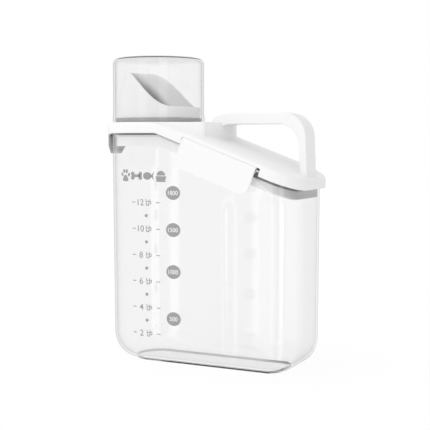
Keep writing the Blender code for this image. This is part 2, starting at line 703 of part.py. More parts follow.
def make_end_latch():
    """A tab that follows the half-round end, with bevelled lower corners."""
    span = END_LATCH_HALF - END_LATCH_TOE
    stations = [-END_LATCH_HALF + i * span / 3 for i in range(4)]
    stations += [-END_LATCH_TOE + i * END_LATCH_TOE / 4 for i in range(1, 9)]
    stations += [END_LATCH_TOE + i * span / 3 for i in range(1, 4)]
    columns = []
    for y in stations:
        over = max(abs(y) - END_LATCH_TOE, 0.0) / span
        bottom = END_LATCH_BOTTOM + (END_LATCH_BEVEL_Z - END_LATCH_BOTTOM) * over
        columns.append(end_plate_column(y, END_LATCH_TOP, bottom))
    latch = loft("end_latch", columns, grey_silicone())
    tongue = [end_plate_column(-END_BARREL_HALF + i * END_BARREL_HALF / 3, END_BARREL_Z,
                               END_TONGUE_LOW)
              for i in range(7)]
    combine(latch, loft("end_latch_tongue", tongue), "UNION")
    ends = [(END_BARREL_X, side * END_BARREL_HALF, END_BARREL_Z) for side in (-1, 1)]
    combine(latch, rod("end_latch_barrel", *ends, END_BARREL_RADIUS), "UNION")
    bridge = box("end_latch_bridge",
                 (END_BRIDGE_OUT, -END_BARREL_HALF, END_BARREL_Z - END_BRIDGE_HALF),
                 (END_BARREL_X, END_BARREL_HALF, END_BARREL_Z + END_BRIDGE_HALF))
    combine(latch, bridge, "UNION")
    hook = box("end_latch_hook", (END_HOOK_ROOT, -END_HOOK_HALF, END_HOOK_Z[0]),
               (END_LUG_OUT - GAP, END_HOOK_HALF, END_HOOK_Z[1]))
    combine(latch, hook, "UNION")
    longer = [(x, y * 1.2, z) for x, y, z in ends]
    combine(latch, rod("end_latch_bore", *longer, END_PIN_RADIUS + GAP), "DIFFERENCE")
    set_origin(latch, (END_BARREL_X, 0.0, END_BARREL_Z))
    reach = END_BARREL_HALF + END_EAR - BLIND_END
    rod("end_latch_pin", (END_BARREL_X, -reach, END_BARREL_Z), (END_BARREL_X, reach, END_BARREL_Z),
        END_PIN_RADIUS, steel())
    return latch


def main():
    for old in list(bpy.data.objects):
        bpy.data.objects.remove(old, do_unlink=True)
    make_tub()
    make_lid()
    make_plug()
    make_gasket()
    make_spout()
    make_cup_seal()
    make_cup()
    make_handle()
    make_side_latch("front_latch", -1)
    make_side_latch("rear_latch", 1)
    make_end_latch()


main()
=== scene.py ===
"""Looks of the pet food bin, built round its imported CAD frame. Metres, +Z up.

The clear tub, the sloping white lid with its spout, cup, handle and latches are remade as fine
meshes in the places that the CAD nodes give, and the wall's printed scale is added."""
import json
from math import asin, atan2, copysign, cos, pi, radians, sin, sqrt, tan

import bmesh
import bpy
from mathutils import Matrix, Vector


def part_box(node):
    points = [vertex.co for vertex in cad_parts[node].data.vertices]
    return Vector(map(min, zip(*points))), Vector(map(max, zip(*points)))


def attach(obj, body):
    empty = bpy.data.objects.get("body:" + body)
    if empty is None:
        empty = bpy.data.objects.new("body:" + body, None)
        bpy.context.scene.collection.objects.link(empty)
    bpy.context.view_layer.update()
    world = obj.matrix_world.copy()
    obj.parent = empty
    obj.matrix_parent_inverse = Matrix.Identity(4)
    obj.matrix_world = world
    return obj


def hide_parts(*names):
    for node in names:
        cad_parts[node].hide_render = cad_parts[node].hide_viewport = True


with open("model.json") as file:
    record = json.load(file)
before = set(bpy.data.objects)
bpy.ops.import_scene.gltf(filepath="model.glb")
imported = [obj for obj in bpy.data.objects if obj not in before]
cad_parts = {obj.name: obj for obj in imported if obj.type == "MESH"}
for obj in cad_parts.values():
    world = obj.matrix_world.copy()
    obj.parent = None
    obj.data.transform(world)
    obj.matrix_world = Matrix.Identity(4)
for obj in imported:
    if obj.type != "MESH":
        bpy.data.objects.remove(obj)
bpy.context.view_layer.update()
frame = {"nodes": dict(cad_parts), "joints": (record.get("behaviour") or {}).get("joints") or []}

# -------- sizes from the frame

HINGES = {joint["name"]: joint for joint in frame["joints"]}
LID_LOW, LID_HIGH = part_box("lid_shell")
TUB_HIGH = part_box("bin_body")[1]
CUP_LOW, CUP_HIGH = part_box("measuring_cup")
LID_END = LID_HIGH.x
HALF_WIDTH = LID_HIGH.y
CUP_X = (CUP_LOW.x + CUP_HIGH.x) / 2
SLOPE_AXIS = HINGES["rear_latch_hinge"]["axis"]
SLOPE = atan2(-SLOPE_AXIS[2], SLOPE_AXIS[0])
TUB_ABOVE_RIM = 0.0055
RIM_Z = TUB_HIGH.z - TUB_ABOVE_RIM
EDGE = 0.0003
# The lid is level up to the bend, and slopes down from there to the handle end.
BEND_X = LID_END - EDGE - (RIM_Z - LID_LOW.z) / tan(SLOPE)
# Local X down the slope, Y unchanged, Z square to the slope, from the bend.
ON_SLOPE = Matrix.Translation((BEND_X, 0.0, RIM_Z)) @ Matrix.Rotation(SLOPE, 4, "Y")

# -------- design sizes
# An inset is measured inwards from the lid's outline. _X, _Y and _Z are places in the frame, _N is
# a height square to the slope, and a pair is a low and a high value, or a start and a stop.

GAP = 0.0003
LID_CORNER = 0.027
SKIRT_WALL = 0.002
DECK_RISE = 0.0099
SLOPE_EXTRA = 0.0012
KNEE_X = 0.004
# The lid's outer and inner profiles, as (inset, rise over the lower edge).
LID_SKIRT = ((EDGE, 0.0), (0.0, 0.0004))
LID_DECK = ((0.0, 0.0066), (0.0004, 0.0079), (0.0013, 0.0089), (0.003, 0.0095),
            (0.008, 0.0097), (0.014, 0.0098), (0.020, DECK_RISE))
LID_ROOF = ((SKIRT_WALL, 0.0064), (0.0026, 0.0071), (0.0046, 0.0071), (0.010, 0.0076), (0.020, 0.0078))
# The deck's crown, as (inset, share of the crown's height), and where it rises and falls again.
CROWN = 0.0020
CROWN_SHARES = ((0.0, 0.0), (0.003, 0.15), (0.008, 0.55), (0.014, 0.85), (0.020, 1.0))
CROWN_RISES_X = (BEND_X, -0.005)
CROWN_FALLS_X = (0.072, 0.102)
CUTTER_LOW_Z = 0.150

TUB_INSET = 0.005
TUB_WALL = 0.002
TUB_DRAFT = tan(radians(0.33))
TUB_LIP = 0.001
FOOT_INSET = 0.0205
FOOT_CORNER = 0.013
FOOT_HEIGHT = 0.002
FOOT_RIM = 0.0025
FOOT_RECESS = 0.0016
FOOT_EDGE = 0.0004
FLOOR_Z = 0.004
FLOOR_MARGIN = 0.0015
CORNER_HEIGHT = 0.027
LEVEL_TOP = 0.160
FLUTE_X = 0.046
FLUTE_RADIUS = 0.018
FLUTE_DEPTH = 0.004
FLUTE_TOP = 0.157
FLUTE_BLEND = 0.0014
FLUTE_FINE_REACH = 0.017

NECK_RADIUS = 0.0464
NECK_TOP = CUP_LOW.z - GAP
HOLE_RADIUS = 0.0372
SPOUT_TUBE_RADIUS = 0.0369
SPOUT_RADIUS = 0.0395
SPOUT_WALL = 0.0018
SPOUT_BOTTOM = 0.213
SPOUT_SHOULDER_DROP = 0.0004
SPOUT_RING_TOP = 0.2395
SPOUT_TIP_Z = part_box("spout")[1].z
SPOUT_TIP_RADIUS = 0.0325
SPOUT_CUT_REACH = 0.026
SPOUT_CUT_SHIFT = 0.0035
SPOUT_LIP = 0.0007
SPOUT_LOW_LIP = SPOUT_LIP * 0.3
SPOUT_SHARES = (0.0, 0.12, 0.25, 0.38, 0.5, 0.62, 0.75, 0.87, 1.0)
SEAL_HEIGHT = 0.0036
SEAL_EDGE = 0.0003
CUP_RADIUS = 0.0432
CUP_MOUTH_RADIUS = (CUP_HIGH.x - CUP_LOW.x) / 2
CUP_WALL = 0.0018
CUP_TOP = CUP_HIGH.z
CUP_FILLET = 0.005
CUP_EDGE = 0.0005
CUP_BAND = 0.004
CUP_NARROWING = 0.005
CUP_NARROWING_STEPS = 6
CUP_STEP = 0.008
# Where the straight walls' rings start over the mouth: outside, above the band, and inside.
CUP_STRAIGHT = (0.012, 0.002)

SHELF_TOP = RIM_Z + DECK_RISE
SHELF_RADIUS = 0.0735
SHELF_ARC_Y = 0.0315
SHELF_START_Y = 0.0445
SHELF_SIDE = (0.006, 0.0365)
SHELF_CORNER = (0.0125, 0.0350)
SHELF_STEPS = 20
SHELF_WALL = 0.0024

PLUG_INSET = 0.0089
PLUG_WALL = 0.002
PLUG_DEPTH = 0.012
PLUG_TOP = 0.0073
PLUG_EDGE = 0.0006
GASKET_INSET = TUB_INSET + TUB_WALL + GAP
GASKET_THICK = 0.0013
GASKET_DEPTH = 0.0034
GASKET_END_DEPTH = 0.0105
GASKET_DEEPENS_X = (0.056, 0.082)
GASKET_EDGE = 0.0003
FLANGE_INSET = 0.0054
FLANGE_THICK = 0.001

HANDLE_LOW, HANDLE_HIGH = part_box("handle")
HANDLE_HALF_WIDTH = HANDLE_HIGH.y
HANDLE_TOP = HANDLE_HIGH.z
HANDLE_UNDER = 0.2229
LEG_INNER_X = (0.0922, 0.0936)
LEG_OUTER_X = (0.0990, HANDLE_HIGH.x)
HANDLE_START_X = HANDLE_LOW.x
HANDLE_TURN = 0.0225
HANDLE_START_TURN = 0.020
HANDLE_ROOT_X = (0.0168, 0.0285)
HANDLE_ROOT_Z = 0.2195
HANDLE_INNER_TURN = 0.0195
HANDLE_NOSE_RISE = 0.0008
HANDLE_SINK = 0.0012

LATCH_START = 0.0290
LATCH_LENGTH = 0.0758
LATCH_STOP = LATCH_START + LATCH_LENGTH
LATCH_MIDDLE = (LATCH_START + LATCH_STOP) / 2
LATCH_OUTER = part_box("rear_latch")[1].y
LATCH_THICK = 0.0022
LATCH_DROP = 0.0208
LATCH_CORNER = 0.009
BARREL_RADIUS = 0.003
BARREL_Y = HINGES["rear_latch_hinge"]["pos_m"][1]
BARREL_N = 0.004
NOTCH_N = (-0.004, 0.0068)
NOTCH_OUT = 0.056
SLOT_BEFORE = 0.0006
SLOT_AFTER = 0.0035
EAR = 0.004
EAR_N = (0.0006, 0.0086)
BORE_RADIUS = 0.0013
LUG_OUT = 0.0466
LUG_N = (-0.0125, -0.0105)
LUG_HALF_LENGTH = 0.022
LUG_ROOT = 0.0004
LUG_BEVEL = 0.0005
HOOK_N = (-0.0155, -0.0130)
HOOK_HALF_LENGTH = 0.020

END_HINGE = Vector(HINGES["end_latch_hinge"]["pos_m"])
TAB_RADIUS = 0.0496
TAB_THICK = 0.0022
TAB_HALF = 0.0155
TAB_TOE = 0.0085
TAB_BEVEL_Z = 0.2035
TAB_BOTTOM = 0.1958
TAB_TOP = RIM_Z - 0.0006
END_BARREL_RADIUS = 0.0018
END_BARREL_HALF = 0.008
END_BORE_HALF = END_BARREL_HALF * 1.2
END_BORE_RADIUS = 0.0011
END_EAR = 0.0032
END_EAR_X = (-0.1024, -0.0994)
END_EAR_Z = (0.2160, 0.2225)
END_NOTCH_X = (-0.110, -0.0993)
END_NOTCH_Z = (0.210, 0.2219)
END_NOTCH_SIDE = 0.0005
END_LUG_X = (-0.1006, -0.0986)
END_LUG_Z = (0.2005, 0.2025)
END_LUG_HALF = 0.008
END_HOOK_Z = (0.1975, 0.2000)
END_HOOK_HALF = 0.007
END_HOOK_ROOT_X = -0.1033
END_BRIDGE_X = -0.1035
END_BRIDGE_HALF = 0.0014
END_TONGUE_LOW = 0.213

# Fineness of the meshes: steps round curves, steps along straight lengths, and voxels with the
# rounds of smoothing that follow them.
ARC_STEPS = 64
CORNER_STEPS = 14
TURN_STEPS = 112
HANDLE_TURN_STEPS = 24
LATCH_CORNER_STEPS = 20
LATCH_COLUMNS = 24
TONGUE_COLUMNS = 8
FOOT_TURN_STEPS = 18
TOP_STEPS = 8
SIDE_STEP = 0.006
FLUTE_STEP = 0.0011
WALL_STEP = 0.0035
LID_GRAIN = (0.00055, 4)
HANDLE_GRAIN = (0.0006, 16)
LATCH_GRAIN = (0.00042, 4)
TAB_GRAIN = (0.00042, 3)

# -------- print on the front wall
# _S runs along the wall, and round the half-round end.

PRINT_PROUD = 0.00015
PRINT_SINK = 0.00002
PRINT_CUT = 0.0015
MARK_VALUES = (2, 4, 6, 8, 10, 12)
MARK_LOW_Z = 0.0306
MARK_STEP = 0.02424
DISC_ROWS = {1800: 0.1611, 1500: 0.1275, 1000: 0.0892, 500: 0.0460}
DISC_S = -0.0160
DISC_RADII = (0.0073, 0.0063)
FONT_FIGURE_SHARE = 0.73
FONT_WEIGHT = 0.008
NUMERAL_HEIGHT = 0.0060
DISC_NUMERAL_HEIGHT = 0.0041
LEFT_DASH = (-0.0588, -0.0552)
NUMERAL_S = -0.0498
CUP_MARK_S = -0.0418
RIGHT_DASH = (-0.0338, -0.0298)
DASH_THICK = 0.0008
DOT_S = -0.0440
DOT_RADIUS = 0.0015
HEADING_Z = 0.1760
# Place, width and height of the paw, bone, fish and bowl.
HEADING = ((-0.0668, 0.0122, 0.0122), (-0.0540, 0.0112, 0.0116), (-0.0412, 0.0114, 0.0128),
           (-0.0284, 0.0112, 0.0118))

# -------- shading, light and view

# The spout's painted inner shade runs diagonally, by X plus a share of Z: (dark up to, gone from, grey).
SPOUT_SHADE_LEAN = 0.75
SPOUT_SHADES = ((0.176, 0.225, 0.88), (0.166, 0.1775, 0.26))
# Painted shadow in a dark band under the rim, which deepens along X, over a lip painted pale as if lit,
# which painted shade darkens at its end.
GASKET_SHADOW_BAND = (0.0017, 0.0034)
GASKET_SHADOW_BAND_X = (0.020, 0.060)
GASKET_END_SHADE_X = (0.078, 0.101)
GASKET_PAINTED_LIT = (0.72, 0.72, 0.725, 1.0)
GASKET_PAINTED_SHADOW = (0.13, 0.13, 0.135, 1.0)

CAMERA_TARGET = Vector((0.00475, 0.0, 0.13887))
CAMERA_AZIMUTH = radians(26.17)
CAMERA_DROP = radians(4.38)
CAMERA_DISTANCE = 0.9
CAMERA_LENS = 80.65
FLOOR_HALF = 6.0
FLOOR_GREYS = (0.42, 0.44)
FLOOR_GLOW = 0.55

# Light: a soft surround, a flag that darkens the right, and upright strips that reflections see.
# A strip is its two bearings in degrees, left of the front negative, and its added level.
KEY_DIRECTION = Vector((-0.50, -0.55, 0.67)).normalized()
AMBIENT = (0.50, 1.36)
FLAG = 0.30
STRIP_BASE = 0.78
STRIPS = ((-28.95, -28.40, 0.50), (-23.95, 0.0, 0.50), (30.0, 52.0, 0.90))
CLEAR_BOUNCES = 32


# -------- materials

def new_material(name):
    mat = bpy.data.materials.new(name)
    mat.use_nodes = True
    mat.node_tree.nodes.clear()
    return mat, mat.node_tree


def add(tree, kind, inputs=None, **settings):
    """Make a shader node; an input is given a value or another node's output."""
    node = tree.nodes.new("ShaderNode" + kind)
    for name, value in settings.items():
        setattr(node, name, value)
    for name, value in (inputs or {}).items():
        if isinstance(value, bpy.types.NodeSocket):
            tree.links.new(value, node.inputs[name])
        else:
            node.inputs[name].default_value = value
    return node


def grey(level, green=0.0, blue=0.0):
    """A grey, with a little green or blue added for a cool one."""
    return (level, level + green, level + blue, 1.0)


def maths(tree, operation, first, second):
    return add(tree, "Math", {0: first, 1: second}, operation=operation).outputs[0]


def own_place(tree):
    """A point's place in the resting object, which moves with its piece."""
    return add(tree, "TexCoord").outputs["Object"]


def noise(tree, scale, detail=3.0):
    place = own_place(tree)
    return add(tree, "TexNoise", {"Vector": place, "Scale": scale, "Detail": detail}).outputs["Fac"]


def ranged(tree, value, low, high, start=0.0, stop=1.0, **settings):
    """A value that runs from low to high while the given one runs from start to stop."""
    return add(tree, "MapRange", {"Value": value, "From Min": start, "From Max": stop,
                                  "To Min": low, "To Max": high}, **settings).outputs["Result"]


def axes(tree, vector):
    return add(tree, "SeparateXYZ", {0: vector}).outputs


def vector_maths(tree, operation, first, second):
    outputs = add(tree, "VectorMath", {0: first, 1: second}, operation=operation).outputs
    return outputs["Value" if operation == "DOT_PRODUCT" else "Vector"]


def mixed_color(tree, share, first, second):
    mix = add(tree, "Mix", data_type="RGBA")
    for socket, value in ((mix.inputs[0], share), (mix.inputs[6], first), (mix.inputs[7], second)):
        if isinstance(value, bpy.types.NodeSocket):
            tree.links.new(value, socket)
        else:
            socket.default_value = value
    return mix.outputs[2]


def shaded_inside(tree, color):
    """Paint shade on the inner side of the spout towards its pouring side, where little light reaches."""
    normal = add(tree, "NewGeometry").outputs["Normal"]
    place = vector_maths(tree, "SUBTRACT", own_place(tree), (CUP_X, 0.0, 0.0))
    flat = vector_maths(tree, "MULTIPLY", place, (1.0, 1.0, 0.0))
    inner = maths(tree, "LESS_THAN", vector_maths(tree, "DOT_PRODUCT", flat, normal), 0.0)
    parts = axes(tree, place)
    along = maths(tree, "ADD", parts["X"], maths(tree, "MULTIPLY", parts["Z"], SPOUT_SHADE_LEAN))
    for start, stop, level in SPOUT_SHADES:
        dark = ranged(tree, along, 1.0, 0.0, start, stop, interpolation_type="SMOOTHSTEP")
        color = mixed_color(tree, maths(tree, "MULTIPLY", inner, dark), color, grey(level))
    return color


def gasket_shades(tree, color):
    """Painted light and shade: a painted shadow right under the rim, a pale lit tone below it, and painted
    shade at its deep end, which faces away from the light under the low rim.
    """
    parts = axes(tree, own_place(tree))
    # Painted shadow: a dark band right under the rim, deeper along X.
    band = ranged(tree, parts["X"], *GASKET_SHADOW_BAND, *GASKET_SHADOW_BAND_X)
    end = ranged(tree, parts["X"], 0.0, 1.0, *GASKET_END_SHADE_X)
    past_bend = maths(tree, "MAXIMUM", maths(tree, "SUBTRACT", parts["X"], BEND_X), 0.0)
    rim = maths(tree, "SUBTRACT", RIM_Z, maths(tree, "MULTIPLY", past_bend, tan(SLOPE)))
    in_rim_shadow = maths(tree, "LESS_THAN", maths(tree, "SUBTRACT", rim, parts["Z"]), band)
    # The lip is painted pale as if lit, and turns to the silicone's own grey at its end as painted shade.
    lip = mixed_color(tree, end, GASKET_PAINTED_LIT, color)
    return mixed_color(tree, in_rim_shadow, lip, GASKET_PAINTED_SHADOW)


def close_material(tree, shader):
    add(tree, "OutputMaterial", {"Surface": shader})


def moulded(name, greys, roughness, grain_scale, grain_depth, change=None):
    """Moulded plastic or rubber: slight cloudiness, uneven gloss and a fine surface grain.

    change is a function that further paints light and shade into the colour."""
    mat, tree = new_material(name)
    clouds = noise(tree, 22.0)
    grain = noise(tree, grain_scale, 4.0)
    color = mixed_color(tree, clouds, *greys)
    if change is not None:
        color = change(tree, color)
    gloss = ranged(tree, noise(tree, 60.0), *roughness)
    bump = add(tree, "Bump", {"Height": grain, "Strength": 0.5, "Distance": grain_depth})
    shader = add(tree, "BsdfPrincipled", {"Base Color": color, "Roughness": gloss,
                                          "Normal": bump.outputs["Normal"]})
    close_material(tree, shader.outputs["BSDF"])
    return mat


def clear_tint(tree, edge, tints, edge_power, lines):
    """The colour of light that comes straight through, darker at outlines and on thin lines.

    tints are the facing and the edge tint. lines is (low z, high z, centre x, near tint, far
    tint): small upright steps between those heights read as thin lines, because they bend the
    light away, darkest on the viewer's side."""
    low, high, centre_x, near_tint, far_tint = lines
    geometry = add(tree, "NewGeometry").outputs
    place = own_place(tree)
    height = axes(tree, place)["Z"]
    level = maths(tree, "ABSOLUTE", axes(tree, geometry["True Normal"])["Z"], 0.0)
    upright = maths(tree, "LESS_THAN", level, 0.95)
    darkening = maths(tree, "MULTIPLY", maths(tree, "POWER", edge, edge_power), upright)
    tint = mixed_color(tree, darkening, *tints)
    between = maths(tree, "MULTIPLY", maths(tree, "GREATER_THAN", height, low),
                    maths(tree, "LESS_THAN", height, high))
    outward = vector_maths(tree, "SUBTRACT", place, (centre_x, 0.0, low))
    towards_viewer = vector_maths(tree, "DOT_PRODUCT", outward, geometry["Incoming"])
    line = mixed_color(tree, maths(tree, "GREATER_THAN", towards_viewer, 0.0), far_tint, near_tint)
    return mixed_color(tree, maths(tree, "MULTIPLY", between, upright), tint, line)


def clear(name, tints, edge_power, gloss, lines):
    """Clear plastic: light passes straight on, with a sharp gloss towards its outlines.

    gloss is the share of gloss face on and the power by which it grows. Light that only passes
    through on its way to another surface isn't dimmed, so the walls cast no shadow."""
    mat, tree = new_material(name)
    gloss_base, gloss_power = gloss
    edge = add(tree, "LayerWeight", {"Blend": 0.5}).outputs["Facing"]
    seen = add(tree, "LightPath").outputs["Is Camera Ray"]
    tint = mixed_color(tree, seen, grey(1.0), clear_tint(tree, edge, tints, edge_power, lines))
    through = add(tree, "BsdfTransparent", {"Color": tint}).outputs["BSDF"]
    ripple = add(tree, "Bump", {"Height": noise(tree, 35.0), "Strength": 0.15, "Distance": 0.00005})
    polish = ranged(tree, noise(tree, 80.0), 0.02, 0.05)
    shine = add(tree, "BsdfGlossy", {"Color": grey(1.0), "Roughness": polish,
                                     "Normal": ripple.outputs["Normal"]}).outputs["BSDF"]
    fresnel = ranged(tree, maths(tree, "POWER", edge, gloss_power), gloss_base, 0.9)
    fresnel = maths(tree, "MULTIPLY", fresnel, seen)
    shader = add(tree, "MixShader", {0: fresnel, 1: through, 2: shine})
    close_material(tree, shader.outputs[0])
    return mat


def ink(name, greys):
    """Screen print: flat ink, a little uneven in cover and sheen."""
    mat, tree = new_material(name)
    color = mixed_color(tree, noise(tree, 240.0, 5.0), *greys)
    gloss = ranged(tree, noise(tree, 500.0), 0.45, 0.65)
    shader = add(tree, "BsdfPrincipled", {"Base Color": color, "Roughness": gloss})
    close_material(tree, shader.outputs["BSDF"])
    return mat


def brushed_steel():
    """The hinge pins' metal, with an unevenly brushed gloss."""
    mat, tree = new_material("pin_steel")
    gloss = ranged(tree, noise(tree, 900.0, 6.0), 0.22, 0.42)
    shader = add(tree, "BsdfPrincipled", {"Base Color": (0.62, 0.62, 0.63, 1.0),
                                          "Metallic": 1.0, "Roughness": gloss})
    close_material(tree, shader.outputs["BSDF"])
    return mat


CLEAR_TUB = clear("clear_tub", (grey(0.978), grey(0.30, 0.0, 0.005)), 9.0, (0.04, 5.0),
                  (0.0001, FOOT_HEIGHT - 0.0001, 0.0, grey(0.06), grey(0.45)))
CLEAR_CUP = clear("clear_cup", (grey(0.974), grey(0.28, 0.0, 0.005)), 8.0, (0.025, 7.0),
                  (CUP_TOP - 0.0018, CUP_TOP - 0.00003, CUP_X, grey(0.26), grey(0.95)))
SILICONE_GREYS = (grey(0.33, 0.005, 0.01), grey(0.37, 0.005, 0.01))
WHITE_FINISH = ((0.33, 0.42), 900.0, 0.00004)
SILICONE_FINISH = ((0.5, 0.65), 1500.0, 0.00006)
WHITE = moulded("white_plastic_fine", (grey(0.86), grey(0.90)), *WHITE_FINISH)
# The spout's white has painted shade on its inner side.
SPOUT_WHITE = moulded("spout_white", (grey(0.79), grey(0.83)), *WHITE_FINISH, shaded_inside)
SILICONE = moulded("grey_silicone_fine", SILICONE_GREYS, *SILICONE_FINISH)
# The gasket's silicone carries painted light and shade.
GASKET_SHADED_SILICONE = moulded("gasket_silicone_painted_shade", SILICONE_GREYS, *SILICONE_FINISH, gasket_shades)
INK = ink("grey_ink", (grey(0.30, 0.0, 0.005), grey(0.35, 0.0, 0.005)))
WHITE_INK = ink("white_ink", (grey(0.86), grey(0.92)))
STEEL = brushed_steel()


# -------- outlines

def rim_z(x):
    """Height of the lid's lower edge."""
    return RIM_Z - max(0.0, x - BEND_X) * tan(SLOPE)


def spread(start, stop, step):
    """Even places from start up to, not including, stop."""
    count = max(1, round((stop - start) / step))
    return [start + (stop - start) * i / count for i in range(count)]


CORNER_X = LID_END - LID_CORNER
FLUTE_START, FLUTE_STOP = FLUTE_X - FLUTE_FINE_REACH, FLUTE_X + FLUTE_FINE_REACH
SIDE_STATIONS = (spread(CUP_X, BEND_X, SIDE_STEP)[1:] + spread(BEND_X, FLUTE_START, SIDE_STEP)
                 + spread(FLUTE_START, FLUTE_STOP, FLUTE_STEP) + spread(FLUTE_STOP, CORNER_X, SIDE_STEP))


def outline(inset):
    """The lid's outline moved inwards: half round at the spout end, rounded at the handle end."""
    half = HALF_WIDTH - inset
    corner = max(LID_CORNER - inset, FOOT_CORNER)
    end_x = LID_END - inset - corner
    turns = [pi * (0.5 + step / ARC_STEPS) for step in range(ARC_STEPS + 1)]
    points = [(CUP_X + half * cos(turn), half * sin(turn)) for turn in turns]
    points += [(x, -half) for x in SIDE_STATIONS]
    for start, side in ((1.5, -1), (0.0, 1)):
        for step in range(CORNER_STEPS + 1):
            angle = pi * (start + 0.5 * step / CORNER_STEPS)
            points.append((end_x + corner * cos(angle),
                           side * (half - corner) + corner * sin(angle)))
    points += [(x, half) for x in reversed(SIDE_STATIONS)]
    return points


def between(value, start, stop):
    """How far a value is from start to stop, held to 0 and 1."""
    return min(max((value - start) / (stop - start), 0.0), 1.0)


def ramp(value, start, stop):
    """A smooth 0 to 1 step."""
    share = between(value, start, stop)
    return share * share * (3 - 2 * share)


def deck_extra(inset, x):
    """The deck stands higher over the rim on the slope and is crowned across it."""
    share = 0.0
    for (low, before), (high, after) in zip(CROWN_SHARES, CROWN_SHARES[1:]):
        if inset >= low:
            share = before + (after - before) * min((inset - low) / (high - low), 1.0)
    hump = ramp(x, *CROWN_RISES_X) * (1 - ramp(x, *CROWN_FALLS_X))
    return SLOPE_EXTRA * ramp(x, BEND_X, KNEE_X) + CROWN * share * hump


def deck_ring(inset, rise):
    return [(x, y, rim_z(x) + rise + deck_extra(inset, x)) for x, y in outline(inset)]


def rim_ring(inset, rise):
    """A ring at a set height over the lid's lower edge."""
    return [(x, y, rim_z(x) + rise) for x, y in outline(inset)]


def level_ring(inset, z):
    return [(x, y, z) for x, y in outline(inset)]


def circle(radius, z):
    """A level circle about the cup's axis."""
    angles = [2 * pi * i / TURN_STEPS for i in range(TURN_STEPS)]
    return [(CUP_X + radius * cos(angle), radius * sin(angle), z) for angle in angles]


# -------- mesh helpers

def linked(name, data):
    obj = bpy.data.objects.new(name, data)
    bpy.context.scene.collection.objects.link(obj)
    return obj


def link_mesh(name, bm, matrix=None):
    """Turn a bmesh into a linked object with outward faces."""
    bmesh.ops.recalc_face_normals(bm, faces=bm.faces)
    mesh = bpy.data.meshes.new(name)
    bm.to_mesh(mesh)
    bm.free()
    if matrix is not None:
        mesh.transform(matrix)
    return linked(name, mesh)


def cap(bm, ring):
    """Close a ring: one face for a level or a short one, strips from side to side for a lid outline."""
    heights = [vert.co.z for vert in ring]
    if max(heights) - min(heights) < 1e-7 or len(ring) <= ARC_STEPS:
        bm.faces.new(ring)
        return
    start = ARC_STEPS // 2
    near = [ring[(start + i) % len(ring)] for i in range(len(ring) // 2 + 1)]
    far = [ring[start - i] for i in range(len(ring) // 2 + 1)]
    bm.faces.new((near[0], near[1], far[1]))
    for i in range(1, len(near) - 1):
        bm.faces.new((near[i], near[i + 1], far[i + 1], far[i]))


def loft(name, rings, closed=False):
    """Skin a list of rings; closed joins the last to the first, otherwise both ends are capped."""
    bm = bmesh.new()
    loops = [[bm.verts.new(point) for point in ring] for ring in rings]
    pairs = list(zip(loops, loops[1:]))
    if closed:
        pairs.append((loops[-1], loops[0]))
    else:
        cap(bm, loops[0])
        cap(bm, loops[-1])
    for low, high in pairs:
        for i in range(len(low)):
            j = (i + 1) % len(low)
            bm.faces.new((low[i], low[j], high[j], high[i]))
    return link_mesh(name, bm)


def turned(name, profile, closed=True):
    """A turned piece on the cup's axis from (radius, z) points."""
    return loft(name, [circle(radius, z) for radius, z in profile], closed)


def about(middle, half):
    return (middle - half, middle + half)


def block(name, x_span, y_span, z_span, matrix=None, bevel=0.0):
    """A box between pairs of places, its edges rounded where a bevel is given."""
    bm = bmesh.new()
    bmesh.ops.create_cube(bm, size=1.0)
    low, high = (Vector(map(pick, (x_span, y_span, z_span))) for pick in (min, max))
    bmesh.ops.scale(bm, vec=high - low, verts=bm.verts)
    bmesh.ops.translate(bm, vec=(high + low) / 2, verts=bm.verts)
    if bevel:
        bmesh.ops.bevel(bm, geom=bm.edges, offset=bevel, segments=4, profile=0.5, affect="EDGES")
    return link_mesh(name, bm, matrix)


def rod(name, start, end, radius, matrix=None, steps=48):
    start, end = Vector(start), Vector(end)
    along = end - start
    turn = along.to_track_quat("Z", "Y").to_matrix().to_4x4()
    bm = bmesh.new()
    bmesh.ops.create_cone(bm, cap_ends=True, segments=steps, radius1=radius, radius2=radius,
                          depth=along.length, matrix=Matrix.Translation((start + end) / 2) @ turn)
    return link_mesh(name, bm, matrix)


def slab(name, points, y_low, y_high, matrix=None):
    """A flat outline in X and Z, extruded along Y."""
    bm = bmesh.new()
    near = [bm.verts.new((x, y_low, z)) for x, z in points]
    far = [bm.verts.new((x, y_high, z)) for x, z in points]
    bm.faces.new(near)
    bm.faces.new(far)
    for i in range(len(points)):
        j = (i + 1) % len(points)
        bm.faces.new((near[i], near[j], far[j], far[i]))
    return link_mesh(name, bm, matrix)


def quarter(steps=CORNER_STEPS):
    """Angles that run from 0 to a quarter turn."""
    return [radians(90) * step / steps for step in range(steps + 1)]


def arc(cx, cz, radius, start, end, steps):
    """Points on a circle in X and Z, angles in degrees."""
    angles = [radians(start + (end - start) * i / steps) for i in range(steps + 1)]
    return [(cx + radius * cos(a), cz + radius * sin(a)) for a in angles]


def apply_modifiers(obj):
    graph = bpy.context.evaluated_depsgraph_get()
    fresh = bpy.data.meshes.new_from_object(obj.evaluated_get(graph), depsgraph=graph)
    obj.modifiers.clear()
    old, obj.data = obj.data, fresh
    bpy.data.meshes.remove(old)


def combine(target, operation, *tools):
    """Join or cut with other objects, which are used up."""
    for tool in tools:
        step = target.modifiers.new(operation.lower(), "BOOLEAN")
        step.operation = operation
        step.object = tool
        step.solver = "EXACT"
    apply_modifiers(target)
    for tool in tools:
        bpy.data.objects.remove(tool, do_unlink=True)


def soften(obj, grain):
    """Remake the surface with an even grid and relax it, which rounds every edge as moulding does."""
    voxel, rounds = grain
    remesh = obj.modifiers.new("remesh", "REMESH")
    remesh.mode = "VOXEL"
    remesh.voxel_size = voxel
    smooth = obj.modifiers.new("smooth", "SMOOTH")
    smooth.factor = 0.5
    smooth.iterations = rounds
    apply_modifiers(obj)


